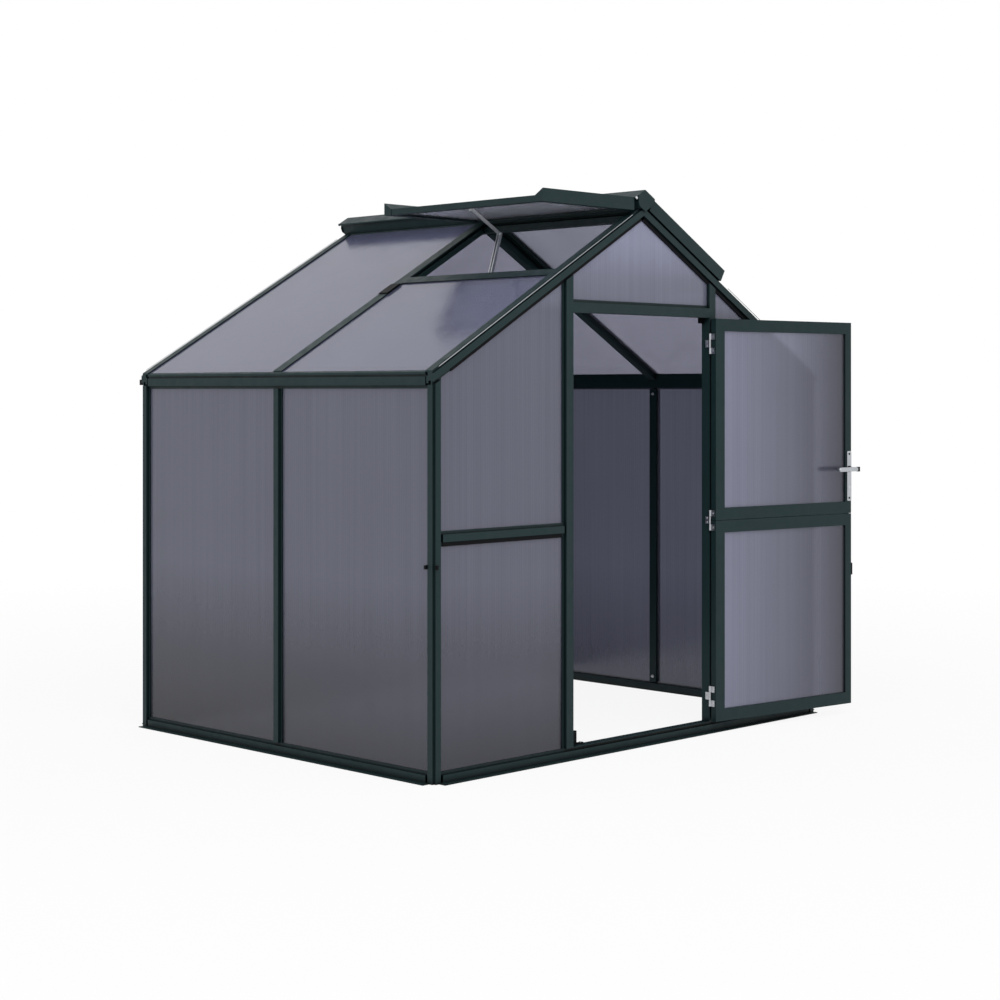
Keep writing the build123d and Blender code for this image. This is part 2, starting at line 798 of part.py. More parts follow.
# Lower door leaf
lower_leaf_top = leaf_split - leaf_split_gap / 2
save(opened(leaf_stiles(leaf_bottom, lower_leaf_top)), "lower_leaf_stiles")
save(opened(leaf_rails(leaf_bottom, lower_leaf_top)), "lower_leaf_rails")
save(opened(leaf_panel(leaf_bottom, lower_leaf_top)), "lower_leaf_panel")

with BuildPart() as lower_leaf_catch:
    catch_start = -leaf_half - catch_reach
    with BuildSketch(Plane.XZ.offset(-leaf_front)):
        with Locations((-leaf_half, catch_level)):
            Rectangle(catch_width - catch_reach, catch_height, align=(Align.MIN, Align.CENTER))
    extrude(amount=catch_thickness)
    with BuildSketch(Plane.XZ.offset(-leaf_front + stop_clearance)):
        with Locations((catch_start, catch_level)):
            Rectangle(catch_width, catch_height, align=(Align.MIN, Align.CENTER))
    extrude(amount=catch_thickness - stop_clearance)
save(opened(lower_leaf_catch.part), "lower_leaf_catch")

# Upper door leaf, with holes for the spindle, the key and the latch bolt
upper_leaf_bottom = leaf_split + leaf_split_gap / 2
spindle_x = -leaf_half + spindle_inset
spindle_hole = spindle_size / math.sqrt(2) + bolt_fit
with BuildPart() as upper_leaf_stiles:
    add(leaf_stiles(upper_leaf_bottom, leaf_top))
    with BuildSketch(Plane.XZ.offset(-leaf_middle)):
        with Locations((spindle_x, spindle_height)):
            Circle(spindle_hole)
        with Locations((spindle_x, spindle_height - key_drop)):
            Circle(key_radius)
    extrude(amount=leaf_thickness, both=True, mode=Mode.SUBTRACT)
    with Locations((-leaf_half, leaf_middle, bolt_level)):
        Box(
            4 * bar_wall,
            bolt_thickness + 2 * bolt_fit,
            bolt_height + 2 * bolt_fit,
            mode=Mode.SUBTRACT,
        )
save(opened(upper_leaf_stiles.part), "upper_leaf_stiles")
save(opened(leaf_rails(upper_leaf_bottom, leaf_top)), "upper_leaf_rails")
save(opened(leaf_panel(upper_leaf_bottom, leaf_top)), "upper_leaf_panel")

# Handle plates on both faces of the upper leaf
with BuildPart() as handle_plates:
    plate_middle = spindle_height + handle_plate_rise - handle_plate_height / 2
    for face in (leaf_front, leaf_back + handle_plate):
        with BuildSketch(Plane.XZ.offset(-face)) as outline:
            with Locations((spindle_x, plate_middle)):
                Rectangle(handle_plate_width, handle_plate_height)
            chamfer(outline.vertices(), bar_wall)
            with Locations((spindle_x, spindle_height)):
                Circle(spindle_hole, mode=Mode.SUBTRACT)
            with Locations((spindle_x, spindle_height - key_drop)):
                Circle(key_radius, mode=Mode.SUBTRACT)
        extrude(amount=handle_plate)
save(opened(handle_plates.part), "handle_plates")


def lever(face, outward):
    """Lever handle on one face of the closed door, pointing to the hinge side."""
    neck_start = face + outward * (handle_plate + bolt_fit)
    neck_end = neck_start + outward * lever_neck
    with BuildPart() as handle:
        with BuildSketch(Plane.XZ.offset(-neck_start)):
            with Locations((spindle_x, spindle_height)):
                Circle(lever_neck_radius)
                Rectangle(spindle_size + spindle_fit, spindle_size + spindle_fit, mode=Mode.SUBTRACT)
        extrude(amount=-outward * lever_neck)
        with BuildSketch(Plane.XZ.offset(-neck_end)):
            with Locations((spindle_x + lever_length / 2, spindle_height)):
                SlotCenterToCenter(lever_length, lever_height)
        grip = extrude(amount=-outward * lever_thickness)
        chamfer(grip.faces().sort_by(Axis.Y)[-1 if outward > 0 else 0].edges(), lever_chamfer)
    return handle.part


save(opened(lever(leaf_front, -1)), "outside_lever")
save(opened(lever(leaf_back, 1)), "inside_lever")

with BuildPart() as handle_spindle:
    spindle_length = leaf_thickness + 2 * (handle_plate + bolt_fit + lever_neck)
    with Locations((spindle_x, leaf_middle, spindle_height)):
        Box(spindle_size, spindle_length, spindle_size)
save(opened(handle_spindle.part), "handle_spindle")

# Latch bolt, drawn out to just short of the strike plate
with BuildPart() as latch_bolt:
    with Locations((-leaf_half - bolt_projection, leaf_middle, bolt_level)):
        Box(bolt_length, bolt_thickness, bolt_height, align=(Align.MIN, Align.CENTER, Align.CENTER))
save(opened(latch_bolt.part), "latch_bolt")

# Roof vents, built closed on the right slope
vent_low = hinge_lift - vent_gap
vent_groove = vent_panel_level - groove / 2
rail_front = vent_front + vent_rail_width
rail_rear = vent_rear - vent_rail_width
rail_run = rail_rear - rail_front
lower_rail_start = vent_length - vent_lower_rail
hinge_rail_end = vent_start + vent_hinge_rail
hook_radius = bead_radius + hook_clearance + hook_wall

with BuildPart() as vent_hinge:
    with BuildSketch(vent_plane(0, rail_front)):
        Circle(hook_radius)
        with BuildLine():
            mouth = [(0, 0)]
            for turn in (hook_to, (hook_from + hook_to) / 2, hook_from):
                reach = 3 * hook_radius
                mouth.append((reach * math.cos(math.radians(turn)), reach * math.sin(math.radians(turn))))
            Polyline(*mouth, close=True)
        make_face(mode=Mode.SUBTRACT)
        with Locations((vent_start, vent_gap)):
            Rectangle(vent_hinge_rail, vent_hinge_depth, align=(Align.MIN, Align.MAX))
        with Locations((hinge_rail_end, -vent_groove)):
            Rectangle(groove_depth, groove, align=(Align.MAX, Align.MAX), mode=Mode.SUBTRACT)
        Circle(bead_radius + hook_clearance, mode=Mode.SUBTRACT)
        with Locations((vent_start + 2 * bar_wall, vent_gap - bar_wall)):
            core_width = vent_hinge_rail - groove_depth - 3 * bar_wall
            core_depth = vent_hinge_depth - 2 * bar_wall
            Rectangle(core_width, core_depth, align=(Align.MIN, Align.MAX), mode=Mode.SUBTRACT)
    extrude(amount=-rail_run)

with BuildPart() as vent_side_rails:
    side_start = vent_point(vent_start, 0, 0)
    side_origin = (side_start[0], vent_front, side_start[1])
    down_slope = (math.cos(tilt), 0, -math.sin(tilt))
    with BuildSketch(Plane(origin=side_origin, x_dir=(0, 1, 0), z_dir=down_slope)):
        with BuildLine():
            Polyline(
                (0, vent_gap),
                (vent_rail_width, bar_wall - vent_groove),
                (vent_rail_width, -vent_low),
                (0, -vent_low),
                close=True,
            )
        make_face()
        with Locations((vent_rail_width, -vent_groove)):
            Rectangle(groove_depth, groove, align=(Align.MAX, Align.MAX), mode=Mode.SUBTRACT)
        with Locations((bar_wall, bar_wall - vent_low)):
            core_width = vent_rail_width - groove_depth - 2 * bar_wall
            Rectangle(core_width, vent_low - vent_groove - bar_wall, align=low_corner, mode=Mode.SUBTRACT)
    extrude(amount=vent_length - vent_start)
    mirror(about=Plane.XZ.offset(-(vent_front + vent_rear) / 2))

with BuildPart() as vent_low_rail:
    with BuildSketch(vent_plane(0, rail_front)):
        with Locations((lower_rail_start, bar_wall - vent_groove)):
            low_rail_depth = vent_low - vent_groove + bar_wall
            Rectangle(vent_lower_rail, low_rail_depth, align=(Align.MIN, Align.MAX))
        with Locations((lower_rail_start, -vent_groove)):
            Rectangle(groove_depth, groove, align=(Align.MIN, Align.MAX), mode=Mode.SUBTRACT)
        with Locations((lower_rail_start + bar_wall, bar_wall - vent_low)):
            core_width = vent_lower_rail - 2 * bar_wall
            core_depth = vent_low - vent_groove - groove - 2 * bar_wall
            Rectangle(core_width, core_depth, align=low_corner, mode=Mode.SUBTRACT)
    extrude(amount=-rail_run)

with BuildPart() as vent_glazing:
    with BuildSketch(vent_plane(0, rail_front - panel_edge)):
        with Locations((hinge_rail_end - panel_edge, -vent_groove - face_clearance)):
            glazing_length = lower_rail_start - hinge_rail_end + 2 * panel_edge
            Rectangle(glazing_length, panel_thickness, align=(Align.MIN, Align.MAX))
    extrude(amount=-rail_run - 2 * panel_edge)

# Bracket on the lower rail of each vent: two ears with a pin through them
pivot_along = lower_rail_start - pivot_setback
ear_start = stay_thickness
bar_start = stay_thickness + stay_gap
bar_end = bar_start + stay_thickness
pin_reach = bar_end + stay_gap
with BuildPart() as vent_bracket:
    for offset in (-ear_start - stay_thickness, ear_start):
        with BuildSketch(vent_plane(0, stay_y + offset)) as ear:
            with Locations((pivot_along, -lid_pivot_level)):
                Rectangle(2 * pivot_setback, 2 * pivot_setback)
            chamfer(ear.vertices().group_by(Axis.X)[0], ear_chamfer)
        extrude(amount=-stay_thickness)
    with BuildSketch(vent_plane(0, stay_y)):
        with Locations((pivot_along, -lid_pivot_level)):
            Circle(stay_pin_radius)
    extrude(amount=pin_reach, both=True)

lid_pieces = (
    (vent_hinge, "hinge_rail"),
    (vent_side_rails, "side_rails"),
    (vent_low_rail, "lower_rail"),
    (vent_glazing, "panel"),
    (vent_bracket, "stay_bracket"),
)
left_bead = Axis((-hinge_x, 0, hinge_z), (0, 1, 0))
for piece, name in lid_pieces:
    save(piece.part, f"vent_right_{name}")
    save(piece.part.mirror(Plane.YZ).rotate(left_bead, left_vent_open), f"vent_left_{name}")

# Fixed brackets of the stays, on the trimmers
with BuildPart() as stay_base_brackets:
    frame_pivot = (pivot_along, -frame_pivot_level)
    trimmer_face = vent_length - trimmer_overlap
    with BuildSketch(vent_plane(0, stay_y)) as plate:
        with Locations((trimmer_face, -frame_pivot_level)):
            plate_length = trimmer_face - pivot_along + pivot_setback
            Rectangle(plate_length, 2 * pivot_setback, align=(Align.MAX, Align.CENTER))
        chamfer(plate.vertices().group_by(Axis.X)[0], ear_chamfer)
    extrude(amount=stay_thickness, both=True)
    with BuildSketch(vent_plane(0, stay_y)):
        with Locations(frame_pivot):
            Circle(stay_pin_radius)
    extrude(amount=pin_reach, both=True)
    for offset in (-pin_reach - pin_head, pin_reach):
        with BuildSketch(vent_plane(0, stay_y + offset)):
            with Locations(frame_pivot):
                RegularPolygon(pin_head_radius, 6)
        extrude(amount=-pin_head)
    mirror(about=Plane.YZ)
save(stay_base_brackets.part, "stay_base_brackets")


def stay_points(open_angle):
    """Lower pivot, upper pivot and elbow of the right stay, as X and Z, for a vent opened by an angle."""
    lower = vent_point(pivot_along, frame_pivot_level, 0)
    upper = vent_point(pivot_along, lid_pivot_level, open_angle)
    across = (upper[0] - lower[0], upper[1] - lower[1])
    span = math.hypot(*across)
    height = math.sqrt(stay_arm**2 - (span / 2) ** 2)
    elbow_x = (lower[0] + upper[0]) / 2 - height * across[1] / span
    elbow_z = (lower[1] + upper[1]) / 2 + height * across[0] / span
    return lower, upper, (elbow_x, elbow_z)


def arm_plane(start, end, y):
    """Plane of a stay arm, with its origin at the start pivot and local X along the arm."""
    direction = (end[0] - start[0], 0, end[1] - start[1])
    return Plane(origin=(start[0], y, start[1]), x_dir=direction, z_dir=(0, -1, 0))


def stay_bar(start, end, y, thickness):
    """Flat bar from one pivot to another, bored at its start."""
    with BuildPart() as flat:
        with BuildSketch(arm_plane(start, end, y)):
            with Locations((stay_arm / 2, 0)):
                bar_face = Rectangle(stay_arm + stay_width, stay_width)
            chamfer(bar_face.vertices(), stay_width / 4)
            Circle(stay_pin_radius + pin_fit, mode=Mode.SUBTRACT)
        extrude(amount=-thickness)
    return flat.part


def lower_arm(start, end):
    """Pair of bars joined by a spacer near the fixed pivot, with pin heads outside the elbow."""
    with BuildPart() as arm:
        add(stay_bar(start, end, stay_y - bar_end, stay_thickness))
        add(stay_bar(start, end, stay_y + bar_start, stay_thickness))
        with BuildSketch(arm_plane(start, end, stay_y)):
            with Locations((stay_arm / spacer_share, 0)):
                RegularPolygon(stay_pin_radius, 6)
        extrude(amount=bar_start, both=True)
        for offset in (-bar_end - pin_head, bar_end):
            with BuildSketch(arm_plane(start, end, stay_y + offset)):
                with Locations((stay_arm, 0)):
                    RegularPolygon(pin_head_radius, 6)
            extrude(amount=-pin_head)
    return arm.part


def upper_arm(start, end):
    """Single bar that runs between the pair of the lower arm."""
    return stay_bar(start, end, stay_y - upper_thickness / 2, upper_thickness)


# Folding stays: the right one lies flat under its closed vent, the left one holds its vent open
foot_pivot, lid_pivot, elbow = stay_points(0)
save(lower_arm(foot_pivot, elbow), "right_stay_lower_arm")
save(upper_arm(lid_pivot, elbow), "right_stay_upper_arm")
foot_pivot, lid_pivot, elbow = stay_points(left_vent_open)
save(lower_arm(foot_pivot, elbow).mirror(Plane.YZ), "left_stay_lower_arm")
save(upper_arm(lid_pivot, elbow).mirror(Plane.YZ), "left_stay_upper_arm")
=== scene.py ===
"""Looks of the garden greenhouse: finishes of its bars and panels, small fittings, studio and camera."""

import logging
import math
from dataclasses import dataclass, field
from enum import Enum
from typing import Any

import bmesh
import bpy
from mathutils import Matrix, Vector


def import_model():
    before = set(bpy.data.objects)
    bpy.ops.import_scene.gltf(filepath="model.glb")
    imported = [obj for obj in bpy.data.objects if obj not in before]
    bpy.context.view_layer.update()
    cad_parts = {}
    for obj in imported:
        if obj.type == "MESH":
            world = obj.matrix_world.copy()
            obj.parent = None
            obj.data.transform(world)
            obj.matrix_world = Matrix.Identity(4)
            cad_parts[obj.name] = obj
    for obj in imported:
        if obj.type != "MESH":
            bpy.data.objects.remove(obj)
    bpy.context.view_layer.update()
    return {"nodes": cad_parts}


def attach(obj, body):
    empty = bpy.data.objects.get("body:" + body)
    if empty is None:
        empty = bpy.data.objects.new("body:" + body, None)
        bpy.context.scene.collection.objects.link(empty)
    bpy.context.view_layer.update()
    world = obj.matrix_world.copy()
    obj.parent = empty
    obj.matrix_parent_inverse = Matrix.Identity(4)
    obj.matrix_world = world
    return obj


LOG = logging.getLogger("greenhouse")
Colour = tuple[float, float, float]
Place = tuple[float, float, float]
Range = tuple[float, float]
Profile = tuple[tuple[float, float], ...]
Socket = bpy.types.NodeSocket
Materials = dict[str, bpy.types.Material]

# Sizes that several classes share, in metres and radians
HALF_DEPTH = 0.7855
# Levels of the black strips that stand in for shade under the gable bars, as painted shade
GABLE_SHADE_STRIP_LEVELS = (0.7775, 0.7712)
DOOR_OPEN = math.radians(172.5)

# Directions of the frame, and the signs of the two sides of a symmetric pair
ALONG_X = (1, 0, 0)
ALONG_Y = (0, 1, 0)
ALONG_Z = (0, 0, 1)
UP = Vector(ALONG_Z)
BOTH_SIDES = (-1, 1)

WHITE = (1, 1, 1, 1)
MIDDLE_NOISE = (0.3, 0.7)


class Slot(Enum):
    """Record slots of the bars and fittings."""

    FRAME = "green_frame"
    STEEL = "plated_steel"
    ALUMINIUM = "bare_aluminium"
    PLASTIC = "black_plastic"


class Body(Enum):
    """Bodies of the part that carry fittings."""

    FRAME = "frame"
    UPPER_LEAF = "upper_leaf"
    LOWER_LEAF = "lower_leaf"
    LEVER = "lever"
    VENT_LEFT = "vent_left"
    VENT_RIGHT = "vent_right"


@dataclass(frozen=True)
class Grain:
    """Noise field: grains per metre, octaves of finer grain and the factor on its scale along each axis."""

    scale: float
    detail: float = 2.0
    stretch: Place = (1, 1, 1)


@dataclass(frozen=True)
class Relief:
    """Surface relief: share of its effect and its height in metres."""

    strength: float
    depth: float


class ShaderGraph:
    """Nodes of one material or world, added and joined by short calls."""

    def __init__(self, owner: bpy.types.Material | bpy.types.World, output: str = "OutputMaterial") -> None:
        """Start an empty graph with its output node.

        Args:
            owner: material or world that shows the graph.
            output: type of its output node without the words ShaderNode.
        """
        owner.use_nodes = True
        self.owner = owner
        self.tree = owner.node_tree
        self.tree.nodes.clear()
        self.output = self.node(output)

    def node(
        self,
        kind: str,
        settings: dict[str, Any] | None = None,
        inputs: dict[Any, Any] | None = None,
    ) -> bpy.types.Node:
        """Add a node.

        Args:
            kind: node type without the words ShaderNode.
            settings: properties of the node.
            inputs: input sockets by name or number, each with a value or a socket to link.

        Returns:
            The new node.
        """
        made = self.tree.nodes.new("ShaderNode" + kind)
        for name, value in (settings or {}).items():
            setattr(made, name, value)
        for name, value in (inputs or {}).items():
            if isinstance(value, bpy.types.NodeSocket):
                self.tree.links.new(value, made.inputs[name])
            else:
                made.inputs[name].default_value = value
        return made

    def place(self) -> Socket:
        """Position on the piece at rest, in metres."""
        return self.node("TexCoord").outputs["Object"]

    def noise(self, grain: Grain) -> Socket:
        """Add a noise field.

        Args:
            grain: scale, detail and stretch of the noise.

        Returns:
            The noise value socket.
        """
        inputs = {"Vector": self.place(), "Scale": grain.stretch}
        mapped = self.node("Mapping", {"vector_type": "POINT"}, inputs)
        inputs = {"Vector": mapped.outputs["Vector"], "Scale": grain.scale, "Detail": grain.detail}
        return self.node("TexNoise", inputs=inputs).outputs["Fac"]

    def span(self, value: Socket, start: Range, to: Range) -> Socket:
        """Value socket that is mapped from one range to another and stays within it."""
        inputs = {0: value, 1: start[0], 2: start[1], 3: to[0], 4: to[1]}
        return self.node("MapRange", {"clamp": True}, inputs).outputs[0]

    def ramp(self, value: Socket, low: Colour, high: Colour) -> Socket:
        """Blend two colours by a value.

        Args:
            value: socket between 0 and 1.
            low: colour at 0.
            high: colour at 1.

        Returns:
            The colour socket.
        """
        made = self.node("ValToRGB", inputs={"Fac": value})
        for element, colour in zip(made.color_ramp.elements, (low, high)):
            element.color = (*colour, 1)
        return made.outputs["Color"]

    def shades(self, value: Socket, stops: Profile) -> Socket:
        """Grey factor that changes along a value.

        Args:
            value: socket to follow.
            stops: pairs of value and factor, in rising order.

        Returns:
            The colour socket.
        """
        first = stops[0][0]
        last = stops[-1][0]
        made = self.node("ValToRGB", inputs={"Fac": self.span(value, (first, last), (0, 1))})
        elements = made.color_ramp.elements
        for place, _ in stops[1:-1]:
            elements.new((place - first) / (last - first))
        for element, (_, factor) in zip(elements, stops):
            element.color = (factor, factor, factor, 1)
        return made.outputs["Color"]

    def along(self, direction: Place | Vector) -> Socket:
        """Value socket of the distance along a direction from the origin."""
        made = self.node("VectorMath", {"operation": "DOT_PRODUCT"}, {0: self.place(), 1: direction})
        return made.outputs["Value"]

    def openness(self, reach: float, samples: int = 8) -> Socket:
        """Value socket that is 1 on an open face and lower in a corner within the reach."""
        settings = {"samples": samples, "only_local": False}
        return self.node("AmbientOcclusion", settings, {"Distance": reach}).outputs["AO"]

    def times(self, first: Socket, second: Socket) -> Socket:
        """Colour socket of one colour multiplied by another."""
        settings = {"data_type": "RGBA", "blend_type": "MULTIPLY"}
        return self.node("Mix", settings, {0: 1.0, 6: first, 7: second}).outputs[2]

    def bump(self, height: Socket, relief: Relief, under: Socket | None = None) -> Socket:
        """Turn a height into a surface normal.

        Args:
            height: socket between 0 and 1.
            relief: strength and depth of the relief.
            under: normal of a coarser relief below this one.

        Returns:
            The normal socket.
        """
        inputs: dict[str, Any] = {"Height": height, "Strength": relief.strength, "Distance": relief.depth}
        if under is not None:
            inputs["Normal"] = under
        return self.node("Bump", inputs=inputs).outputs["Normal"]

    def close(self, shader: bpy.types.Node) -> None:
        """Link the last shader to the output."""
        self.tree.links.new(shader.outputs[0], self.output.inputs["Surface"])

    def surface(self, inputs: dict[str, Any]) -> bpy.types.Material:
        """Finish the graph with a principled shader and return its material."""
        self.close(self.node("BsdfPrincipled", inputs=inputs))
        return self.owner


def shaded(colour: Colour, factor: float) -> Colour:
    """The colour made lighter or darker by a factor."""
    return (colour[0] * factor, colour[1] * factor, colour[2] * factor)


def cover(piece: bpy.types.Object, material: bpy.types.Material) -> None:
    """Give the whole piece one material and report it.

    Args:
        piece: object to cover.
        material: material that it gets.
    """
    piece.data.materials.clear()
    piece.data.materials.append(material)
    LOG.info("%s has %s", piece.name, material.name)


@dataclass(frozen=True)
class GrainedFinish:
    """Finish whose colour drifts in clouds and whose shine and relief follow a fine grain."""

    name: str
    colour: Colour
    drift: Range
    cloud: Grain
    grain: Grain
    relief: Relief
    roughness: Range
    metallic: float = 0.0
    sheen_level: float = 0.5

    def clouded(self, graph: ShaderGraph) -> Socket:
        """Colour socket that drifts in clouds between the darker and the lighter colour."""
        low, high = (shaded(self.colour, factor) for factor in self.drift)
        return graph.ramp(graph.noise(self.cloud), low, high)

    def material(self) -> bpy.types.Material:
        """Build the node material.

        Returns:
            The new material.
        """
        graph = ShaderGraph(bpy.data.materials.new(self.name))
        grain = graph.noise(self.grain)
        return graph.surface(
            {
                "Base Color": self.clouded(graph),
                "Metallic": self.metallic,
                "Roughness": graph.span(grain, MIDDLE_NOISE, self.roughness),
                "Specular IOR Level": self.sheen_level,
                "Normal": graph.bump(grain, self.relief),
            }
        )


@dataclass(frozen=True)
class PowderCoat(GrainedFinish):
    """Satin dark green powder coat with a fine orange peel, and painted shade that darkens its colour in the
    corners of the bars.
    """

    name: str = "green_powder_coat"
    colour: Colour = (0.0100, 0.0262, 0.0288)
    drift: Range = (0.84, 1.16)
    cloud: Grain = Grain(5.0, 4.0)
    grain: Grain = Grain(900.0, 1.0)
    relief: Relief = Relief(0.12, 0.0004)
    roughness: Range = (0.40, 0.56)
    sheen_level: float = 0.18
    wear: Grain = Grain(30.0, 3.0)
    speck: Grain = Grain(420.0)
    speck_shades: Profile = ((0.35, 0.9), (0.7, 1.08))
    # Painted shade: reach and stops of the darkening of the colour in the corners and recesses of the bars
    painted_shade_reach: float = 0.022
    painted_corner_shade_stops: Profile = ((0.45, 0.18), (0.95, 1.0))

    def material(self) -> bpy.types.Material:
        """Build the node material.

        Returns:
            The new material.
        """
        graph = ShaderGraph(bpy.data.materials.new(self.name))
        flecks = graph.shades(graph.noise(self.speck), self.speck_shades)
        # Painted shade: the colour is darkened where ambient occlusion finds a corner, standing in for shade
        # in the recesses
        painted_corner_shade = graph.shades(graph.openness(self.painted_shade_reach), self.painted_corner_shade_stops)
        return graph.surface(
            {
                "Base Color": graph.times(graph.times(self.clouded(graph), flecks), painted_corner_shade),
                "Roughness": graph.span(graph.noise(self.wear), MIDDLE_NOISE, self.roughness),
                "Specular IOR Level": self.sheen_level,
                "Normal": graph.bump(graph.noise(self.grain), self.relief),
            }
        )


@dataclass(frozen=True)
class PlatedSteel(GrainedFinish):
    """Bright plated steel with faint cloudy passivation and fine scratches."""

    name: str = "bright_plated_steel"
    colour: Colour = (0.56, 0.575, 0.60)
    drift: Range = (0.82, 1.12)
    cloud: Grain = Grain(60.0, 3.0)
    grain: Grain = Grain(500.0, 2.0, (1.0, 1.0, 0.08))
    relief: Relief = Relief(0.10, 0.0002)
    roughness: Range = (0.24, 0.42)
    metallic: float = 1.0


@dataclass(frozen=True)
class SatinAluminium(GrainedFinish):
    """Satin aluminium brushed along its height."""

    name: str = "satin_aluminium"
    colour: Colour = (0.47, 0.49, 0.515)
    drift: Range = (0.9, 1.08)
    cloud: Grain = Grain(25.0)
    grain: Grain = Grain(900.0, 2.0, (1.0, 1.0, 0.03))
    relief: Relief = Relief(0.08, 0.0002)
    roughness: Range = (0.30, 0.46)
    metallic: float = 1.0


@dataclass(frozen=True)
class MouldedPlastic(GrainedFinish):
    """Black moulded plastic with a fine spark-eroded grain."""

    name: str = "black_moulded_plastic"
    colour: Colour = (0.0026, 0.0030, 0.0042)
    drift: Range = (0.8, 1.25)
    cloud: Grain = Grain(40.0)
    grain: Grain = Grain(1400.0)
    relief: Relief = Relief(0.2, 0.0003)
    roughness: Range = (0.42, 0.6)
    sheen_level: float = 0.08


@dataclass(frozen=True)
class TwinWallSheet:
    """Tinted twin-wall sheet of some panel nodes, whose webs show as faint parallel lines."""

    name: str
    panels: tuple[str, ...]
    across: Place
    colour: Colour = (0.200, 0.208, 0.282)
    see_through: float = 0.50
    # Painted light and shade: a factor on the colour that changes along this direction, set per sheet
    painted_light_along: Place = ALONG_Z
    fade: Profile = ((0.0, 1.0), (2.0, 1.0))
    pitch: float = 0.0105
    web_share: float = 0.09
    web_shade: float = 0.84
    web_relief: Relief = Relief(0.05, 0.0003)
    film: Grain = Grain(2.2, 3.0)
    film_colours: tuple[Colour, Colour] = ((0.93, 0.93, 0.94), (1.06, 1.06, 1.05))
    streak_scale: float = 75.0
    streak_detail: float = 3.0
    streak_stretch: float = 0.008
    streak_shades: Profile = ((0.3, 0.95), (0.7, 1.05))
    wave: Grain = Grain(3.5, 1.0)
    wave_relief: Relief = Relief(0.05, 0.02)
    wear: Grain = Grain(14.0, 3.0)
    roughness: Range = (0.14, 0.22)
    refraction: float = 1.5
    sheen_level: float = 0.34

    def webs(self, graph: ShaderGraph) -> Socket:
        """Find the webs of the sheet.

        Args:
            graph: nodes of the material.

        Returns:
            The value socket that is 1 on a web and 0 between the webs.
        """
        step = Vector(self.across).normalized() / self.pitch
        half_step = 0.5
        wave = graph.node("Math", {"operation": "PINGPONG"}, {0: graph.along(step), 1: half_step})
        return graph.span(wave.outputs[0], (0.0, self.web_share), (1.0, 0.0))

    def tint(self, graph: ShaderGraph, webs: Socket) -> Socket:
        """Colour the sheet: its webs, a cloudy film, streaks along the webs, and painted light and shade
        that change slowly along one direction.

        Args:
            graph: nodes of the material.
            webs: value socket of the webs.

        Returns:
            The colour socket.
        """
        lines = graph.ramp(webs, self.colour, shaded(self.colour, self.web_shade))
        stretch = tuple(1.0 if part else self.streak_stretch for part in self.across)
        streaks = graph.noise(Grain(self.streak_scale, self.streak_detail, stretch))
        film = graph.ramp(graph.noise(self.film), *self.film_colours)
        film = graph.times(film, graph.shades(streaks, self.streak_shades))
        # Painted light and shade: the sheet is lighter or darker along its length where light falls,
        # reflects or is shaded
        painted_light_factor = graph.shades(graph.along(self.painted_light_along), self.fade)
        return graph.times(graph.times(lines, film), painted_light_factor)

    def material(self) -> bpy.types.Material:
        """Build the node material.

        Returns:
            The new material.
        """
        graph = ShaderGraph(bpy.data.materials.new(self.name))
        webs = self.webs(graph)
        waves = graph.bump(graph.noise(self.wave), self.wave_relief)
        return graph.surface(
            {
                "Base Color": self.tint(graph, webs),
                "Roughness": graph.span(graph.noise(self.wear), MIDDLE_NOISE, self.roughness),
                "IOR": self.refraction,
                "Specular IOR Level": self.sheen_level,
                "Transmission Weight": self.see_through,
                "Normal": graph.bump(webs, self.web_relief, waves),
            }
        )


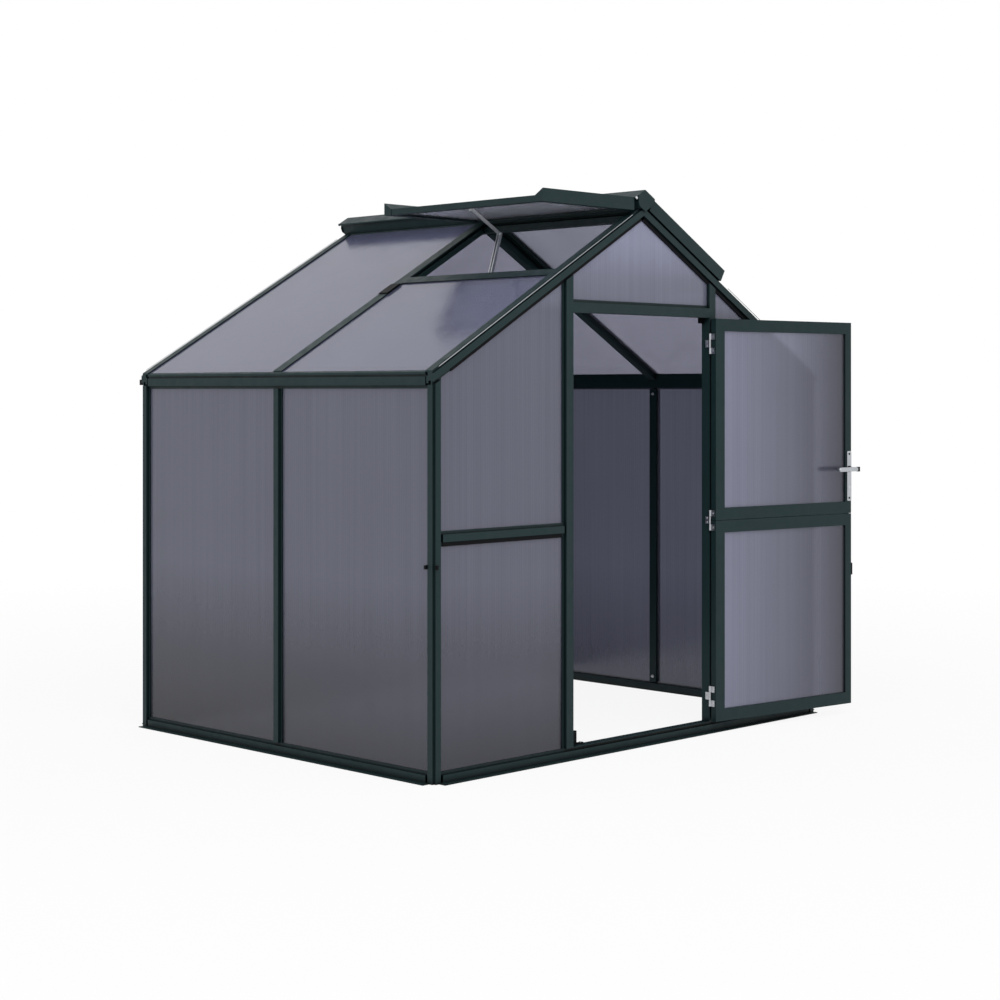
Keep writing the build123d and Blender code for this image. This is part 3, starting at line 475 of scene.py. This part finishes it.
@dataclass
class GlazingPanels:
    """All the sheets, each with its webs upright or down the slope."""

    door_angle: float = DOOR_OPEN
    # Painted shade: the side walls and the rear gable are darker towards the bottom
    left_and_rear_painted_shade: Profile = ((0.04, 0.24), (0.3, 0.52), (0.62, 1.0), (1.3, 1.0))
    right_painted_shade: Profile = ((0.04, 0.62), (0.5, 1.0), (1.3, 1.0))
    # Painted light: the one roof sheet gets a lighter or darker colour on each slope and lid, standing in
    # for sky reflection and shade; the open left lid is lightest, as painted light on its underside
    left_roof_painted_light_colour: Colour = (0.245, 0.258, 0.412)
    right_roof_painted_light_colour: Colour = (0.42, 0.42, 0.53)
    roof_see_through: float = 0.72
    left_lid_painted_light_colour: Colour = (0.60, 0.61, 0.69)
    right_lid_painted_light_colour: Colour = (0.37, 0.38, 0.47)
    lid_see_through: float = 0.76
    # Painted light and shade: the front gable is darker towards the bottom and lighter towards the top
    gable_painted_light_and_shade: Profile = (
        (0.04, 0.24),
        (0.3, 0.52),
        (0.62, 1.0),
        (1.5, 1.0),
        (1.54, 1.3),
        (1.63, 1.5),
        (1.75, 2.1),
        (1.85, 2.1),
    )
    # Painted reflection and shade: the door leaf is lighter near its hinge and darker towards its free edge
    leaf_painted_light_and_shade: Profile = ((0.38, 1.95), (0.75, 1.2), (1.05, 0.28))
    leaf_panels: tuple[str, ...] = ("upper_leaf_panel", "lower_leaf_panel")

    def sheets(self) -> tuple[TwinWallSheet, ...]:
        """Describe all the sheets.

        Returns:
            The sheets, each with the names of its panel nodes.
        """
        roof = self.roof_see_through
        lid = self.lid_see_through
        leaf = (math.cos(self.door_angle), math.sin(self.door_angle), 0.0)
        return (
            TwinWallSheet("left_side_sheet", ("side_panels_left",), ALONG_Y, fade=self.left_and_rear_painted_shade),
            TwinWallSheet("right_side_sheet", ("side_panels_right",), ALONG_Y, fade=self.right_painted_shade),
            TwinWallSheet("left_roof_sheet", ("roof_panels_left",), ALONG_Y, self.left_roof_painted_light_colour, roof),
            TwinWallSheet("right_roof_sheet", ("roof_panels_right",), ALONG_Y, self.right_roof_painted_light_colour, roof),
            TwinWallSheet("left_lid_sheet", ("vent_left_panel",), ALONG_Y, self.left_lid_painted_light_colour, lid),
            TwinWallSheet("right_lid_sheet", ("vent_right_panel",), ALONG_Y, self.right_lid_painted_light_colour, lid),
            TwinWallSheet("front_gable_sheet", ("front_panels",), ALONG_X, fade=self.gable_painted_light_and_shade),
            TwinWallSheet("rear_gable_sheet", ("rear_panels",), ALONG_X, fade=self.left_and_rear_painted_shade),
            TwinWallSheet("leaf_sheet", self.leaf_panels, leaf, painted_light_along=ALONG_X, fade=self.leaf_painted_light_and_shade),
        )

    def dress(self, nodes: dict[str, bpy.types.Object]) -> None:
        """Give each panel node its sheet material.

        Args:
            nodes: CAD nodes by name.
        """
        for sheet in self.sheets():
            material = sheet.material()
            for name in sheet.panels:
                cover(nodes[name], material)


@dataclass
class FrameFinishes:
    """Finishes of every CAD node that is not a panel, by its record slot."""

    coated_sill: str = "door_sill_strip"
    finishes: dict[str, GrainedFinish] = field(
        default_factory=lambda: {
            Slot.FRAME.value: PowderCoat(),
            Slot.STEEL.value: PlatedSteel(),
            Slot.ALUMINIUM.value: SatinAluminium(),
            Slot.PLASTIC.value: MouldedPlastic(),
        }
    )

    def dress(self, nodes: dict[str, bpy.types.Object]) -> Materials:
        """Give each bar and fitting its material.

        Args:
            nodes: CAD nodes by name.

        Returns:
            The materials by slot.
        """
        materials = {slot: finish.material() for slot, finish in self.finishes.items()}
        for node in nodes.values():
            slot = node.data.materials[0].name
            if slot in materials:
                cover(node, materials[slot])
        cover(nodes[self.coated_sill], materials[Slot.FRAME.value])
        return materials


class FittingMesh:
    """Turned, flat and long shapes gathered into one piece."""

    ROUND_SIDES = 16
    NUT_SIDES = 6
    # Radius as a share of the head's radius and height as a share of the head's height
    SCREW_HEAD: Profile = ((1.0, 0.0), (1.0, 0.45), (0.78, 1.0), (0.38, 1.0), (0.28, 0.4))
    # Radius as a share of the nut's radius and height in metres
    WASHER: Profile = ((1.35, 0.0), (1.35, 0.0014))
    NUT: Profile = ((1.0, 0.0), (1.0, 0.0044), (0.84, 0.0055))
    STUD: Profile = ((0.5, 0.0), (0.5, 0.0015), (0.4, 0.0025))

    def __init__(self) -> None:
        """Start with an empty mesh."""
        self.shape = bmesh.new()

    def skin(self, rings: list[list[Vector]], capped: bool = True) -> None:
        """Join rings of points to one closed solid.

        Args:
            rings: loops of equal length, from one end to the other.
            capped: True to close the two ends, False to join the last ring to the first.
        """
        loops = [[self.shape.verts.new(point) for point in ring] for ring in rings]
        pairs = list(zip(loops, loops[1:]))
        if not capped:
            pairs.append((loops[-1], loops[0]))
        for low, high in pairs:
            for index in range(len(low)):
                after = (index + 1) % len(low)
                self.shape.faces.new((low[index], low[after], high[after], high[index]))
        if capped:
            self.shape.faces.new(list(reversed(loops[0])))
            self.shape.faces.new(loops[-1])

    def turned(
        self,
        profile: Profile,
        place: Vector,
        axis: Vector,
        sides: int = ROUND_SIDES,
        capped: bool = True,
    ) -> None:
        """Add a turned shape that stands on a face.

        Args:
            profile: pairs of radius and height, from the base to the top.
            place: middle of its base.
            axis: direction in which it stands out.
            sides: number of its sides.
            capped: False for a collar whose profile runs back to its base.
        """
        turn = UP.rotation_difference(axis)
        angles = [2 * math.pi * index / sides for index in range(sides)]
        rings = []
        for radius, height in profile:
            ring = [Vector((radius * math.cos(angle), radius * math.sin(angle), height)) for angle in angles]
            rings.append([place + turn @ point for point in ring])
        self.skin(rings, capped)

    def screw(self, place: Vector, axis: Vector, radius: float, height: float) -> None:
        """Add a pan head of this radius and height, with a driver recess, that stands out along the axis."""
        self.turned(tuple((radius * r, height * h) for r, h in self.SCREW_HEAD), place, axis)

    def nut(self, place: Vector, axis: Vector, radius: float) -> None:
        """Add a washer with a chamfered hexagon nut and the end of its bolt.

        Args:
            place: middle of the washer's seat.
            axis: direction in which the nut stands out.
            radius: radius over the nut's corners.
        """
        seat = place
        stack = ((self.WASHER, self.ROUND_SIDES), (self.NUT, self.NUT_SIDES), (self.STUD, self.ROUND_SIDES))
        for profile, sides in stack:
            self.turned(tuple((radius * share, height) for share, height in profile), seat, axis, sides)
            top = profile[-1][1]
            seat = seat + axis * top

    def pad(self, place: Vector, across: Vector, along: Vector, size: Place, rim: float) -> None:
        """Add a flat pad with a softened rim.

        Args:
            place: middle of the pad's seat.
            across: unit direction of its width.
            along: unit direction of its length, with which the width turns to face outwards.
            size: width, length and height.
            rim: width of the softened rim.
        """
        out = across.cross(along)
        rings = []
        for inset, level in ((0.0, 0.0), (0.0, size[2] - rim), (rim, size[2])):
            ring = []
            for side, end in ((-1, -1), (1, -1), (1, 1), (-1, 1)):
                width = side * (size[0] / 2 - inset)
                length = end * (size[1] / 2 - inset)
                ring.append(place + across * width + along * length + out * level)
            rings.append(ring)
        self.skin(rings)

    def run(self, outline: list[Vector], length: Vector) -> None:
        """Add a long shape from the outline of one end face and the run to the other end."""
        self.skin([outline, [point + length for point in outline]])

    def strip(self, corner: Vector, width: Vector, depth: Vector, length: Vector) -> None:
        """Add a strip from a corner of one end face, that face's two sides and the run to the other end."""
        self.run([corner, corner + width, corner + width + depth, corner + depth], length)

    def piece(self, name: str, body: Body, slot: Slot, materials: Materials) -> None:
        """Finish the mesh as a piece that moves with a body.

        Args:
            name: name of the piece.
            body: body that it moves with.
            slot: record slot of its finish.
            materials: materials by slot.
        """
        bmesh.ops.recalc_face_normals(self.shape, faces=self.shape.faces)
        mesh = bpy.data.meshes.new(name)
        self.shape.to_mesh(mesh)
        self.shape.free()
        made = bpy.data.objects.new(name, mesh)
        bpy.context.scene.collection.objects.link(made)
        cover(made, materials[slot.value])
        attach(made, body.value)


@dataclass
class RoofFittings:
    """Ridge ends, lid end caps, bright rods of painted highlight on the rafter edges and black strips of
    painted shade under the rafters, and rafter sleeves.
    """

    materials: Materials
    half_depth: float = HALF_DEPTH
    apex: float = 1.8791
    tilt: float = math.radians(30)
    ridge_end: float = 0.7895
    hinge: tuple[float, float] = (0.046, 1.90335)
    pin_end: Profile = ((0.0052, 0.0), (0.0052, 0.0030), (0.0040, 0.0042), (0.0015, 0.0045))
    ridge_cap_thickness: float = 0.0025
    ridge_cap: Profile = (
        (-0.034, 1.9145),
        (0.0, 1.9343),
        (0.0505, 1.9052),
        (0.0505, 1.8970),
        (0.030, 1.8760),
        (0.0, 1.8585),
        (-0.030, 1.8760),
        (-0.036, 1.8900),
    )
    lid_length: float = 0.465
    lid_rail: float = 0.036
    lid_levels: tuple[float, float, float] = (0.002, -0.0205, -0.042)
    lid_ends: tuple[float, float] = (-HALF_DEPTH, -0.002)
    cap_thickness: float = 0.0015
    # Painted highlight: a thin bright rod along each gable rafter's top edge, standing in for the light that
    # the edge catches
    highlight_rod_radius: float = 0.0012
    highlight_rod_sides: int = 8
    highlight_rod_starts: dict[int, float] = field(default_factory=lambda: {-1: -0.062, 1: 0.47})
    highlight_rod_stop: float = 0.985
    # Painted shade: a black strip under each gable rafter, where shade falls below the rafter
    shade_strip_ends: tuple[float, float] = (0.012, 0.945)
    shade_strip_band: tuple[float, float] = (0.0303, 0.0435)
    shade_strip_levels: tuple[float, float] = GABLE_SHADE_STRIP_LEVELS
    sleeve_at: float = 0.485
    sleeve_size: Place = (0.072, 0.047, 0.004)
    sleeve_rim: float = 0.0012

    def slope(self, side: int) -> Vector:
        """Unit direction down the slope of one side, -1 left and 1 right."""
        return Vector((side * math.cos(self.tilt), 0, -math.sin(self.tilt)))

    def roof_point(self, x: float, y: float) -> Vector:
        """Point of the roof plane above a place."""
        return Vector((x, y, self.apex - abs(x) * math.tan(self.tilt)))

    def build_ridge_ends(self) -> None:
        """Add the end plates of the ridge and the bright ends of its left hinge bead."""
        plates = FittingMesh()
        pins = FittingMesh()
        for end in BOTH_SIDES:
            out = Vector((0, end, 0))
            outline = [Vector((x, end * self.ridge_end, z)) for x, z in self.ridge_cap]
            plates.run(outline, out * self.ridge_cap_thickness)
            place = Vector((-self.hinge[0], end * self.ridge_end, self.hinge[1]))
            pins.turned(self.pin_end, place, out)
        plates.piece("ridge_end_plates", Body.FRAME, Slot.FRAME, self.materials)
        pins.piece("ridge_pin_ends", Body.FRAME, Slot.STEEL, self.materials)

    def build_lid_caps(self) -> None:
        """Add the caps on the lower ends of the lids' side rails, left lid open and right lid shut."""
        left = (Body.VENT_LEFT, "lid_end_caps_left", -1, Vector((-1, 0, 0)), UP)
        down = self.slope(1)
        right = (Body.VENT_RIGHT, "lid_end_caps_right", 1, down, Vector((-down.z, 0, down.x)))
        top, inner, low = self.lid_levels
        for body, name, side, along, up in (left, right):
            caps = FittingMesh()
            hinge = Vector((side * self.hinge[0], 0, self.hinge[1]))
            for end, turn in zip(self.lid_ends, (1, -1)):
                outer_edge = hinge + along * self.lid_length + Vector((0, end, 0))
                inner_edge = outer_edge + Vector((0, turn * self.lid_rail, 0))
                outline = [outer_edge + up * top, inner_edge + up * inner]
                outline += [inner_edge + up * low, outer_edge + up * low]
                caps.run(outline, along * self.cap_thickness)
            caps.piece(name, body, Slot.FRAME, self.materials)

    def build_rafter_trim(self) -> None:
        """Add a bright aluminium rod on each gable rafter's edge as a painted highlight, and a black strip
        under the rafter as painted shade.
        """
        highlight_rods = FittingMesh()
        shade_strips = FittingMesh()
        near, far = self.shade_strip_levels
        upper, lower = self.shade_strip_band
        for side in BOTH_SIDES:
            down = self.slope(side)
            inward = Vector((side * down.z, 0, -abs(down.x)))
            begin, finish = (self.roof_point(side * x, 0) for x in self.shade_strip_ends)
            for end in BOTH_SIDES:
                start = self.roof_point(self.highlight_rod_starts[side], end * self.half_depth)
                stop = self.roof_point(side * self.highlight_rod_stop, end * self.half_depth)
                highlight_rod = ((self.highlight_rod_radius, 0.0), (self.highlight_rod_radius, (stop - start).length))
                highlight_rods.turned(highlight_rod, start, down, self.highlight_rod_sides)
                corner = begin + inward * upper + Vector((0, end * near, 0))
                depth = Vector((0, end * (far - near), 0))
                shade_strips.strip(corner, inward * (lower - upper), depth, finish - begin)
        highlight_rods.piece("rafter_edge_painted_highlights", Body.FRAME, Slot.ALUMINIUM, self.materials)
        shade_strips.piece("rafter_painted_shade_strips", Body.FRAME, Slot.PLASTIC, self.materials)

    def build_sleeves(self) -> None:
        """Add the joint sleeve on each middle rafter below the vent opening."""
        sleeves = FittingMesh()
        for side in BOTH_SIDES:
            place = self.roof_point(side * self.sleeve_at, 0)
            sleeves.pad(place, self.slope(side), Vector((0, side, 0)), self.sleeve_size, self.sleeve_rim)
        sleeves.piece("rafter_sleeves", Body.FRAME, Slot.PLASTIC, self.materials)

    def build(self) -> None:
        """Build all the roof fittings."""
        self.build_ridge_ends()
        self.build_lid_caps()
        self.build_rafter_trim()
        self.build_sleeves()


@dataclass
class WallFittings:
    """Glazing clips, corner strap, joint bolts, black strips of painted shade under the rails, and the sill
    stop.
    """

    materials: Materials
    half_width: float = 1.0065
    half_depth: float = HALF_DEPTH
    bar_depth: float = 0.036
    lip_depth: float = 0.010
    clip_heights: tuple[float, ...] = (0.837, 0.446, 0.076)
    clip_at: float = 0.017
    clip_size: Place = (0.008, 0.015, 0.003)
    clip_rim: float = 0.0008
    strap_height: float = 0.68
    strap_size: Place = (0.009, 0.013, 0.008)
    strap_insets: tuple[float, float] = (0.0352, 0.010)
    strap_rim: float = 0.0015
    post_at: float = 0.385
    bolt_radius: float = 0.0046
    side_bolts: tuple[float, ...] = (0.060, 1.222)
    gable_bolts: tuple[float, ...] = (0.060, 0.770, 1.52)
    rail_ends: tuple[float, float] = (0.412, 0.962)
    # Painted shade: height span of the black strip under each middle rail
    rail_shade_strip: tuple[float, float] = (0.7435, 0.7577)
    shade_strip_levels: tuple[float, float] = GABLE_SHADE_STRIP_LEVELS
    jamb: float = 0.363
    stop_size: Place = (0.010, 0.046, 0.045)
    stop_middle: tuple[float, float] = (-0.7550, 0.062)
    stop_rim: float = 0.002
    sill_top: float = 0.038
    tab_at: float = 0.062
    tab_size: Place = (0.030, 0.012, 0.005)
    tab_rim: float = 0.0012
    tab_screw_at: float = 0.004
    tab_screw_radius: float = 0.004
    tab_screw_height: float = 0.002

    def build_clips(self) -> None:
        """Add the bright clips on the lips of the side posts."""
        clips = FittingMesh()
        for side in BOTH_SIDES:
            for height in self.clip_heights:
                place = Vector((side * (self.half_width - self.lip_depth), self.clip_at, height))
                clips.pad(place, Vector((0, side, 0)), UP, self.clip_size, self.clip_rim)
        clips.piece("glazing_clips", Body.FRAME, Slot.STEEL, self.materials)

    def build_strap(self) -> None:
        """Add the black stubs on the two faces of the front left corner post."""
        strap = FittingMesh()
        side_inset, front_inset = self.strap_insets
        lip = -self.half_width + self.lip_depth
        side_place = Vector((lip, -self.half_depth + side_inset, self.strap_height))
        front_place = Vector((-self.half_width + front_inset, -self.half_depth, self.strap_height))
        width, height, depth = self.strap_size
        side_size = (width, height, depth + self.lip_depth)
        strap.pad(side_place, Vector((0, -1, 0)), UP, side_size, self.strap_rim)
        strap.pad(front_place, Vector(ALONG_X), UP, self.strap_size, self.strap_rim)
        strap.piece("corner_strap", Body.FRAME, Slot.PLASTIC, self.materials)

    def build_bolts(self) -> None:
        """Add the nuts of the bar joints on the inner faces of the posts."""
        bolts = FittingMesh()
        for side in BOTH_SIDES:
            inner = side * (self.half_width - self.bar_depth)
            for height in self.side_bolts:
                bolts.nut(Vector((inner, 0, height)), Vector((-side, 0, 0)), self.bolt_radius)
            for end in BOTH_SIDES:
                face = end * (self.half_depth - self.bar_depth)
                for height in self.gable_bolts:
                    place = Vector((side * self.post_at, face, height))
                    bolts.nut(place, Vector((0, -end, 0)), self.bolt_radius)
        bolts.piece("joint_bolts", Body.FRAME, Slot.STEEL, self.materials)

    def build_rail_shade_strips(self) -> None:
        """Add black strips under the middle rails of both gables, as painted shade below each rail."""
        shade_strips = FittingMesh()
        start, stop = self.rail_ends
        near, far = self.shade_strip_levels
        low, high = self.rail_shade_strip
        for end in BOTH_SIDES:
            depth = Vector((0, end * (far - near), 0))
            for side in BOTH_SIDES:
                corner = Vector((side * start, end * near, low))
                shade_strips.strip(corner, UP * (high - low), depth, Vector((side * (stop - start), 0, 0)))
        shade_strips.piece("rail_painted_shade_strips", Body.FRAME, Slot.PLASTIC, self.materials)

    def build_sill_stop(self) -> None:
        """Add the black stop at the foot of the latch jamb and its tab on the sill."""
        stop = FittingMesh()
        y, z = self.stop_middle
        stop.pad(Vector((-self.jamb, y, z)), Vector(ALONG_Y), UP, self.stop_size, self.stop_rim)
        tab_place = Vector((-self.jamb + self.tab_at, y, self.sill_top))
        stop.pad(tab_place, Vector(ALONG_X), Vector(ALONG_Y), self.tab_size, self.tab_rim)
        stop.piece("sill_stop", Body.FRAME, Slot.PLASTIC, self.materials)
        screws = FittingMesh()
        screw_place = tab_place + Vector((self.tab_screw_at, 0, self.tab_size[2]))
        screws.screw(screw_place, UP, self.tab_screw_radius, self.tab_screw_height)
        screws.piece("sill_stop_screw", Body.FRAME, Slot.STEEL, self.materials)

    def build(self) -> None:
        """Build all the wall fittings."""
        self.build_clips()
        self.build_strap()
        self.build_bolts()
        self.build_rail_shade_strips()
        self.build_sill_stop()


@dataclass
class DoorFittings:
    """Screws of the hinges, strike and handle, the key cylinders, lever collars, and black lever sleeves of
    painted shade.
    """

    materials: Materials
    axis: Place = (0.360, -0.7895, 0.0)
    open_angle: float = DOOR_OPEN
    hinge_heights: tuple[float, ...] = (0.130, 0.766, 1.404)
    hinge_middle: float = -0.7745
    jamb_plate: float = 0.361
    leaf_tab: float = 0.359
    jamb_screw_rise: float = 0.0075
    leaf_screw_rise: float = 0.0255
    screw_radius: float = 0.0032
    screw_height: float = 0.0012
    strike_face: float = -0.362
    strike_screws: tuple[float, float] = (0.870, 0.934)
    strike_screw_height: float = 0.0008
    spindle_at: float = -0.344
    spindle_height: float = 0.936
    plate_faces: tuple[float, float] = (-0.7885, -0.7585)
    plate_screws: tuple[float, float] = (0.825, 0.993)
    plate_screw_radius: float = 0.0042
    plate_screw_height: float = 0.0014
    key_height: float = 0.864
    key: Profile = ((0.0070, 0.0), (0.0070, 0.0012), (0.0060, 0.0020), (0.0036, 0.0020), (0.0030, 0.0008))
    collar: Profile = ((0.0084, 0.0), (0.0118, 0.0), (0.0118, 0.0026), (0.0104, 0.0038), (0.0084, 0.0038))
    # Painted shade: black sleeves where the end of each lever is in shade
    shade_sleeve_seats: tuple[float, float] = (-0.8266, -0.7204)
    sleeve_at: float = -0.3465
    sleeve_size: Place = (0.0125, 0.0178, 0.0105)
    sleeve_rim: float = 0.0025

    def facing(self, direction: Place | Vector) -> Vector:
        """Direction on the open leaf of one given on the closed leaf."""
        return Matrix.Rotation(self.open_angle, 3, "Z") @ Vector(direction)

    def opened(self, place: Place) -> Vector:
        """Place on the open leaf of a point given on the closed leaf."""
        axis = Vector(self.axis)
        return axis + self.facing(Vector(place) - axis)

    def build_lever_shade_sleeves(self) -> None:
        """Add a black sleeve on the spindle end of each lever, as painted shade on the lever's end."""
        sleeves = FittingMesh()
        for seat, out in zip(self.shade_sleeve_seats, BOTH_SIDES):
            place = self.opened((self.sleeve_at, seat, self.spindle_height))
            sleeves.pad(place, self.facing((-out, 0, 0)), UP, self.sleeve_size, self.sleeve_rim)
        sleeves.piece("lever_end_painted_shade_sleeves", Body.LEVER, Slot.PLASTIC, self.materials)

    def build_jamb_screws(self) -> None:
        """Add the screws of the jamb hinge plates and of the strike plate."""
        screws = FittingMesh()
        for level in self.hinge_heights:
            for sign in BOTH_SIDES:
                rise = sign * self.jamb_screw_rise
                place = Vector((self.jamb_plate, self.hinge_middle, level + rise))
                screws.screw(place, Vector((-1, 0, 0)), self.screw_radius, self.screw_height)
        for level in self.strike_screws:
            place = Vector((self.strike_face, self.hinge_middle, level))
            screws.screw(place, Vector(ALONG_X), self.screw_radius, self.strike_screw_height)
        screws.piece("jamb_screws", Body.FRAME, Slot.STEEL, self.materials)

    def build_leaf_screws(self) -> None:
        """Add the screws of each leaf's hinge tabs."""
        low, middle, high = self.hinge_heights
        rise = self.leaf_screw_rise
        leaves = (
            ("lower_leaf_screws", Body.LOWER_LEAF, (low - rise, low + rise, middle - rise)),
            ("upper_leaf_screws", Body.UPPER_LEAF, (middle + rise, high - rise, high + rise)),
        )
        for name, body, levels in leaves:
            screws = FittingMesh()
            for level in levels:
                place = self.opened((self.leaf_tab, self.hinge_middle, level))
                screws.screw(place, self.facing(ALONG_X), self.screw_radius, self.screw_height)
            screws.piece(name, body, Slot.STEEL, self.materials)

    def build_handle_details(self) -> None:
        """Add the plate screws, key cylinders and lever collars on both faces of the upper leaf."""
        screws = FittingMesh()
        cylinders = FittingMesh()
        collars = FittingMesh()
        for face, out in zip(self.plate_faces, BOTH_SIDES):
            outward = self.facing((0, out, 0))
            for level in self.plate_screws:
                place = self.opened((self.spindle_at, face, level))
                screws.screw(place, outward, self.plate_screw_radius, self.plate_screw_height)
            cylinders.turned(self.key, self.opened((self.spindle_at, face, self.key_height)), outward)
            neck = self.opened((self.spindle_at, face, self.spindle_height))
            collars.turned(self.collar, neck, outward, capped=False)
        screws.piece("handle_screws", Body.UPPER_LEAF, Slot.PLASTIC, self.materials)
        cylinders.piece("key_cylinders", Body.UPPER_LEAF, Slot.STEEL, self.materials)
        collars.piece("lever_collars", Body.UPPER_LEAF, Slot.PLASTIC, self.materials)

    def build(self) -> None:
        """Build all the door fittings."""
        self.build_lever_shade_sleeves()
        self.build_jamb_screws()
        self.build_leaf_screws()
        self.build_handle_details()


@dataclass
class Studio:
    """Pale floor, white surroundings, one soft lamp and the camera."""

    floor_radius: float = 40.0
    floor_sides: int = 64
    shadow_radius: tuple[float, float] = (2.0, 6.0)
    floor_colour: Colour = (0.86, 0.86, 0.86)
    floor_white: Range = (0.90, 1.0)
    ambient: Range = (0.14, 0.84)
    ambient_from: Place = (-0.42, -0.50, 0.75)
    key_place: Place = (-3.6, -4.4, 5.6)
    key_target: Place = (0, 0, 0.9)
    key_size: float = 8.0
    key_power: float = 230.0
    camera_place: Place = (-5.2404, -5.2789, 1.2322)
    camera_turn: float = math.radians(-45.214)
    camera_level: float = math.radians(90)
    camera_lens: float = 71.077
    camera_sensor: float = 36.0
    camera_shift: float = -0.10872

    def seen_rays(self, graph: ShaderGraph) -> Socket:
        """Find the rays that show the background: camera, glossy and transmission rays.

        Args:
            graph: nodes of the floor or the world.

        Returns:
            The value socket that is 1 for those rays and 0 for all others.
        """
        rays = graph.node("LightPath").outputs
        seen = rays["Is Camera Ray"]
        for name in ("Is Glossy Ray", "Is Transmission Ray"):
            settings = {"operation": "ADD", "use_clamp": True}
            seen = graph.node("Math", settings, {0: seen, 1: rays[name]}).outputs[0]
        return seen

    def floor_material(self) -> bpy.types.Material:
        """Build a matt pale floor that fades to the white surroundings away from the object.

        Returns:
            The new material.
        """
        graph = ShaderGraph(bpy.data.materials.new("pale_floor"))
        distance = graph.node("VectorMath", {"operation": "LENGTH"}, {0: graph.place()}).outputs["Value"]
        far = graph.span(distance, self.shadow_radius, self.floor_white)
        fade = graph.node("Math", {"operation": "MULTIPLY"}, {0: far, 1: self.seen_rays(graph)})
        matt = graph.node("BsdfDiffuse", inputs={"Color": (*self.floor_colour, 1)})
        white = graph.node("Emission", inputs={"Color": WHITE, "Strength": 1.0})
        inputs = {0: fade.outputs[0], 1: matt.outputs[0], 2: white.outputs[0]}
        graph.close(graph.node("MixShader", inputs=inputs))
        return graph.owner

    def build_floor(self) -> None:
        """Add the floor disc with its pale floor material."""
        mesh = bpy.data.meshes.new("studio_floor")
        shape = bmesh.new()
        bmesh.ops.create_circle(shape, cap_ends=True, radius=self.floor_radius, segments=self.floor_sides)
        shape.to_mesh(mesh)
        shape.free()
        floor = bpy.data.objects.new("studio_floor", mesh)
        bpy.context.scene.collection.objects.link(floor)
        floor.data.materials.append(self.floor_material())

    def build_world(self) -> None:
        """Light the scene softly from all round, most from above the near corner, and show it as white."""
        world = bpy.data.worlds.new("studio_white")
        graph = ShaderGraph(world, "OutputWorld")
        direction = graph.node("TexCoord").outputs["Generated"]
        inputs = {0: direction, 1: Vector(self.ambient_from).normalized()}
        facing = graph.node("VectorMath", {"operation": "DOT_PRODUCT"}, inputs).outputs["Value"]
        strength = graph.span(facing, (-1.0, 1.0), self.ambient)
        light = graph.node("Background", inputs={"Color": WHITE, "Strength": strength})
        white = graph.node("Background", inputs={"Color": WHITE, "Strength": 1.0})
        inputs = {0: self.seen_rays(graph), 1: light.outputs[0], 2: white.outputs[0]}
        graph.close(graph.node("MixShader", inputs=inputs))
        bpy.context.scene.world = world

    def build_lamp(self) -> None:
        """Add the soft square lamp above the near corner."""
        light = bpy.data.lights.new("key_lamp", "AREA")
        light.size = self.key_size
        light.energy = self.key_power
        lamp = bpy.data.objects.new("key_lamp", light)
        lamp.location = self.key_place
        aim = Vector(self.key_target) - Vector(self.key_place)
        lamp.rotation_euler = aim.to_track_quat("-Z", "Y").to_euler()
        bpy.context.scene.collection.objects.link(lamp)

    def build_camera(self) -> None:
        """Add the camera at the picture's viewing angle."""
        data = bpy.data.cameras.new("picture_camera")
        data.lens = self.camera_lens
        data.sensor_width = self.camera_sensor
        data.shift_y = self.camera_shift
        camera = bpy.data.objects.new("picture_camera", data)
        camera.location = self.camera_place
        camera.rotation_euler = (self.camera_level, 0, self.camera_turn)
        bpy.context.scene.collection.objects.link(camera)
        bpy.context.scene.camera = camera

    def build(self) -> None:
        """Set up the whole studio."""
        bpy.context.scene.view_settings.view_transform = "Standard"
        self.build_floor()
        self.build_world()
        self.build_lamp()
        self.build_camera()


def main() -> None:
    """Load the frame, dress it and set up the studio."""
    logging.basicConfig(level=logging.INFO, format="%(name)s: %(message)s")
    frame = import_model()
    nodes = frame["nodes"]
    materials = FrameFinishes().dress(nodes)
    GlazingPanels().dress(nodes)
    for fittings in (RoofFittings, WallFittings, DoorFittings):
        fittings(materials).build()
    Studio().build()


if __name__ == "__main__":
    main()
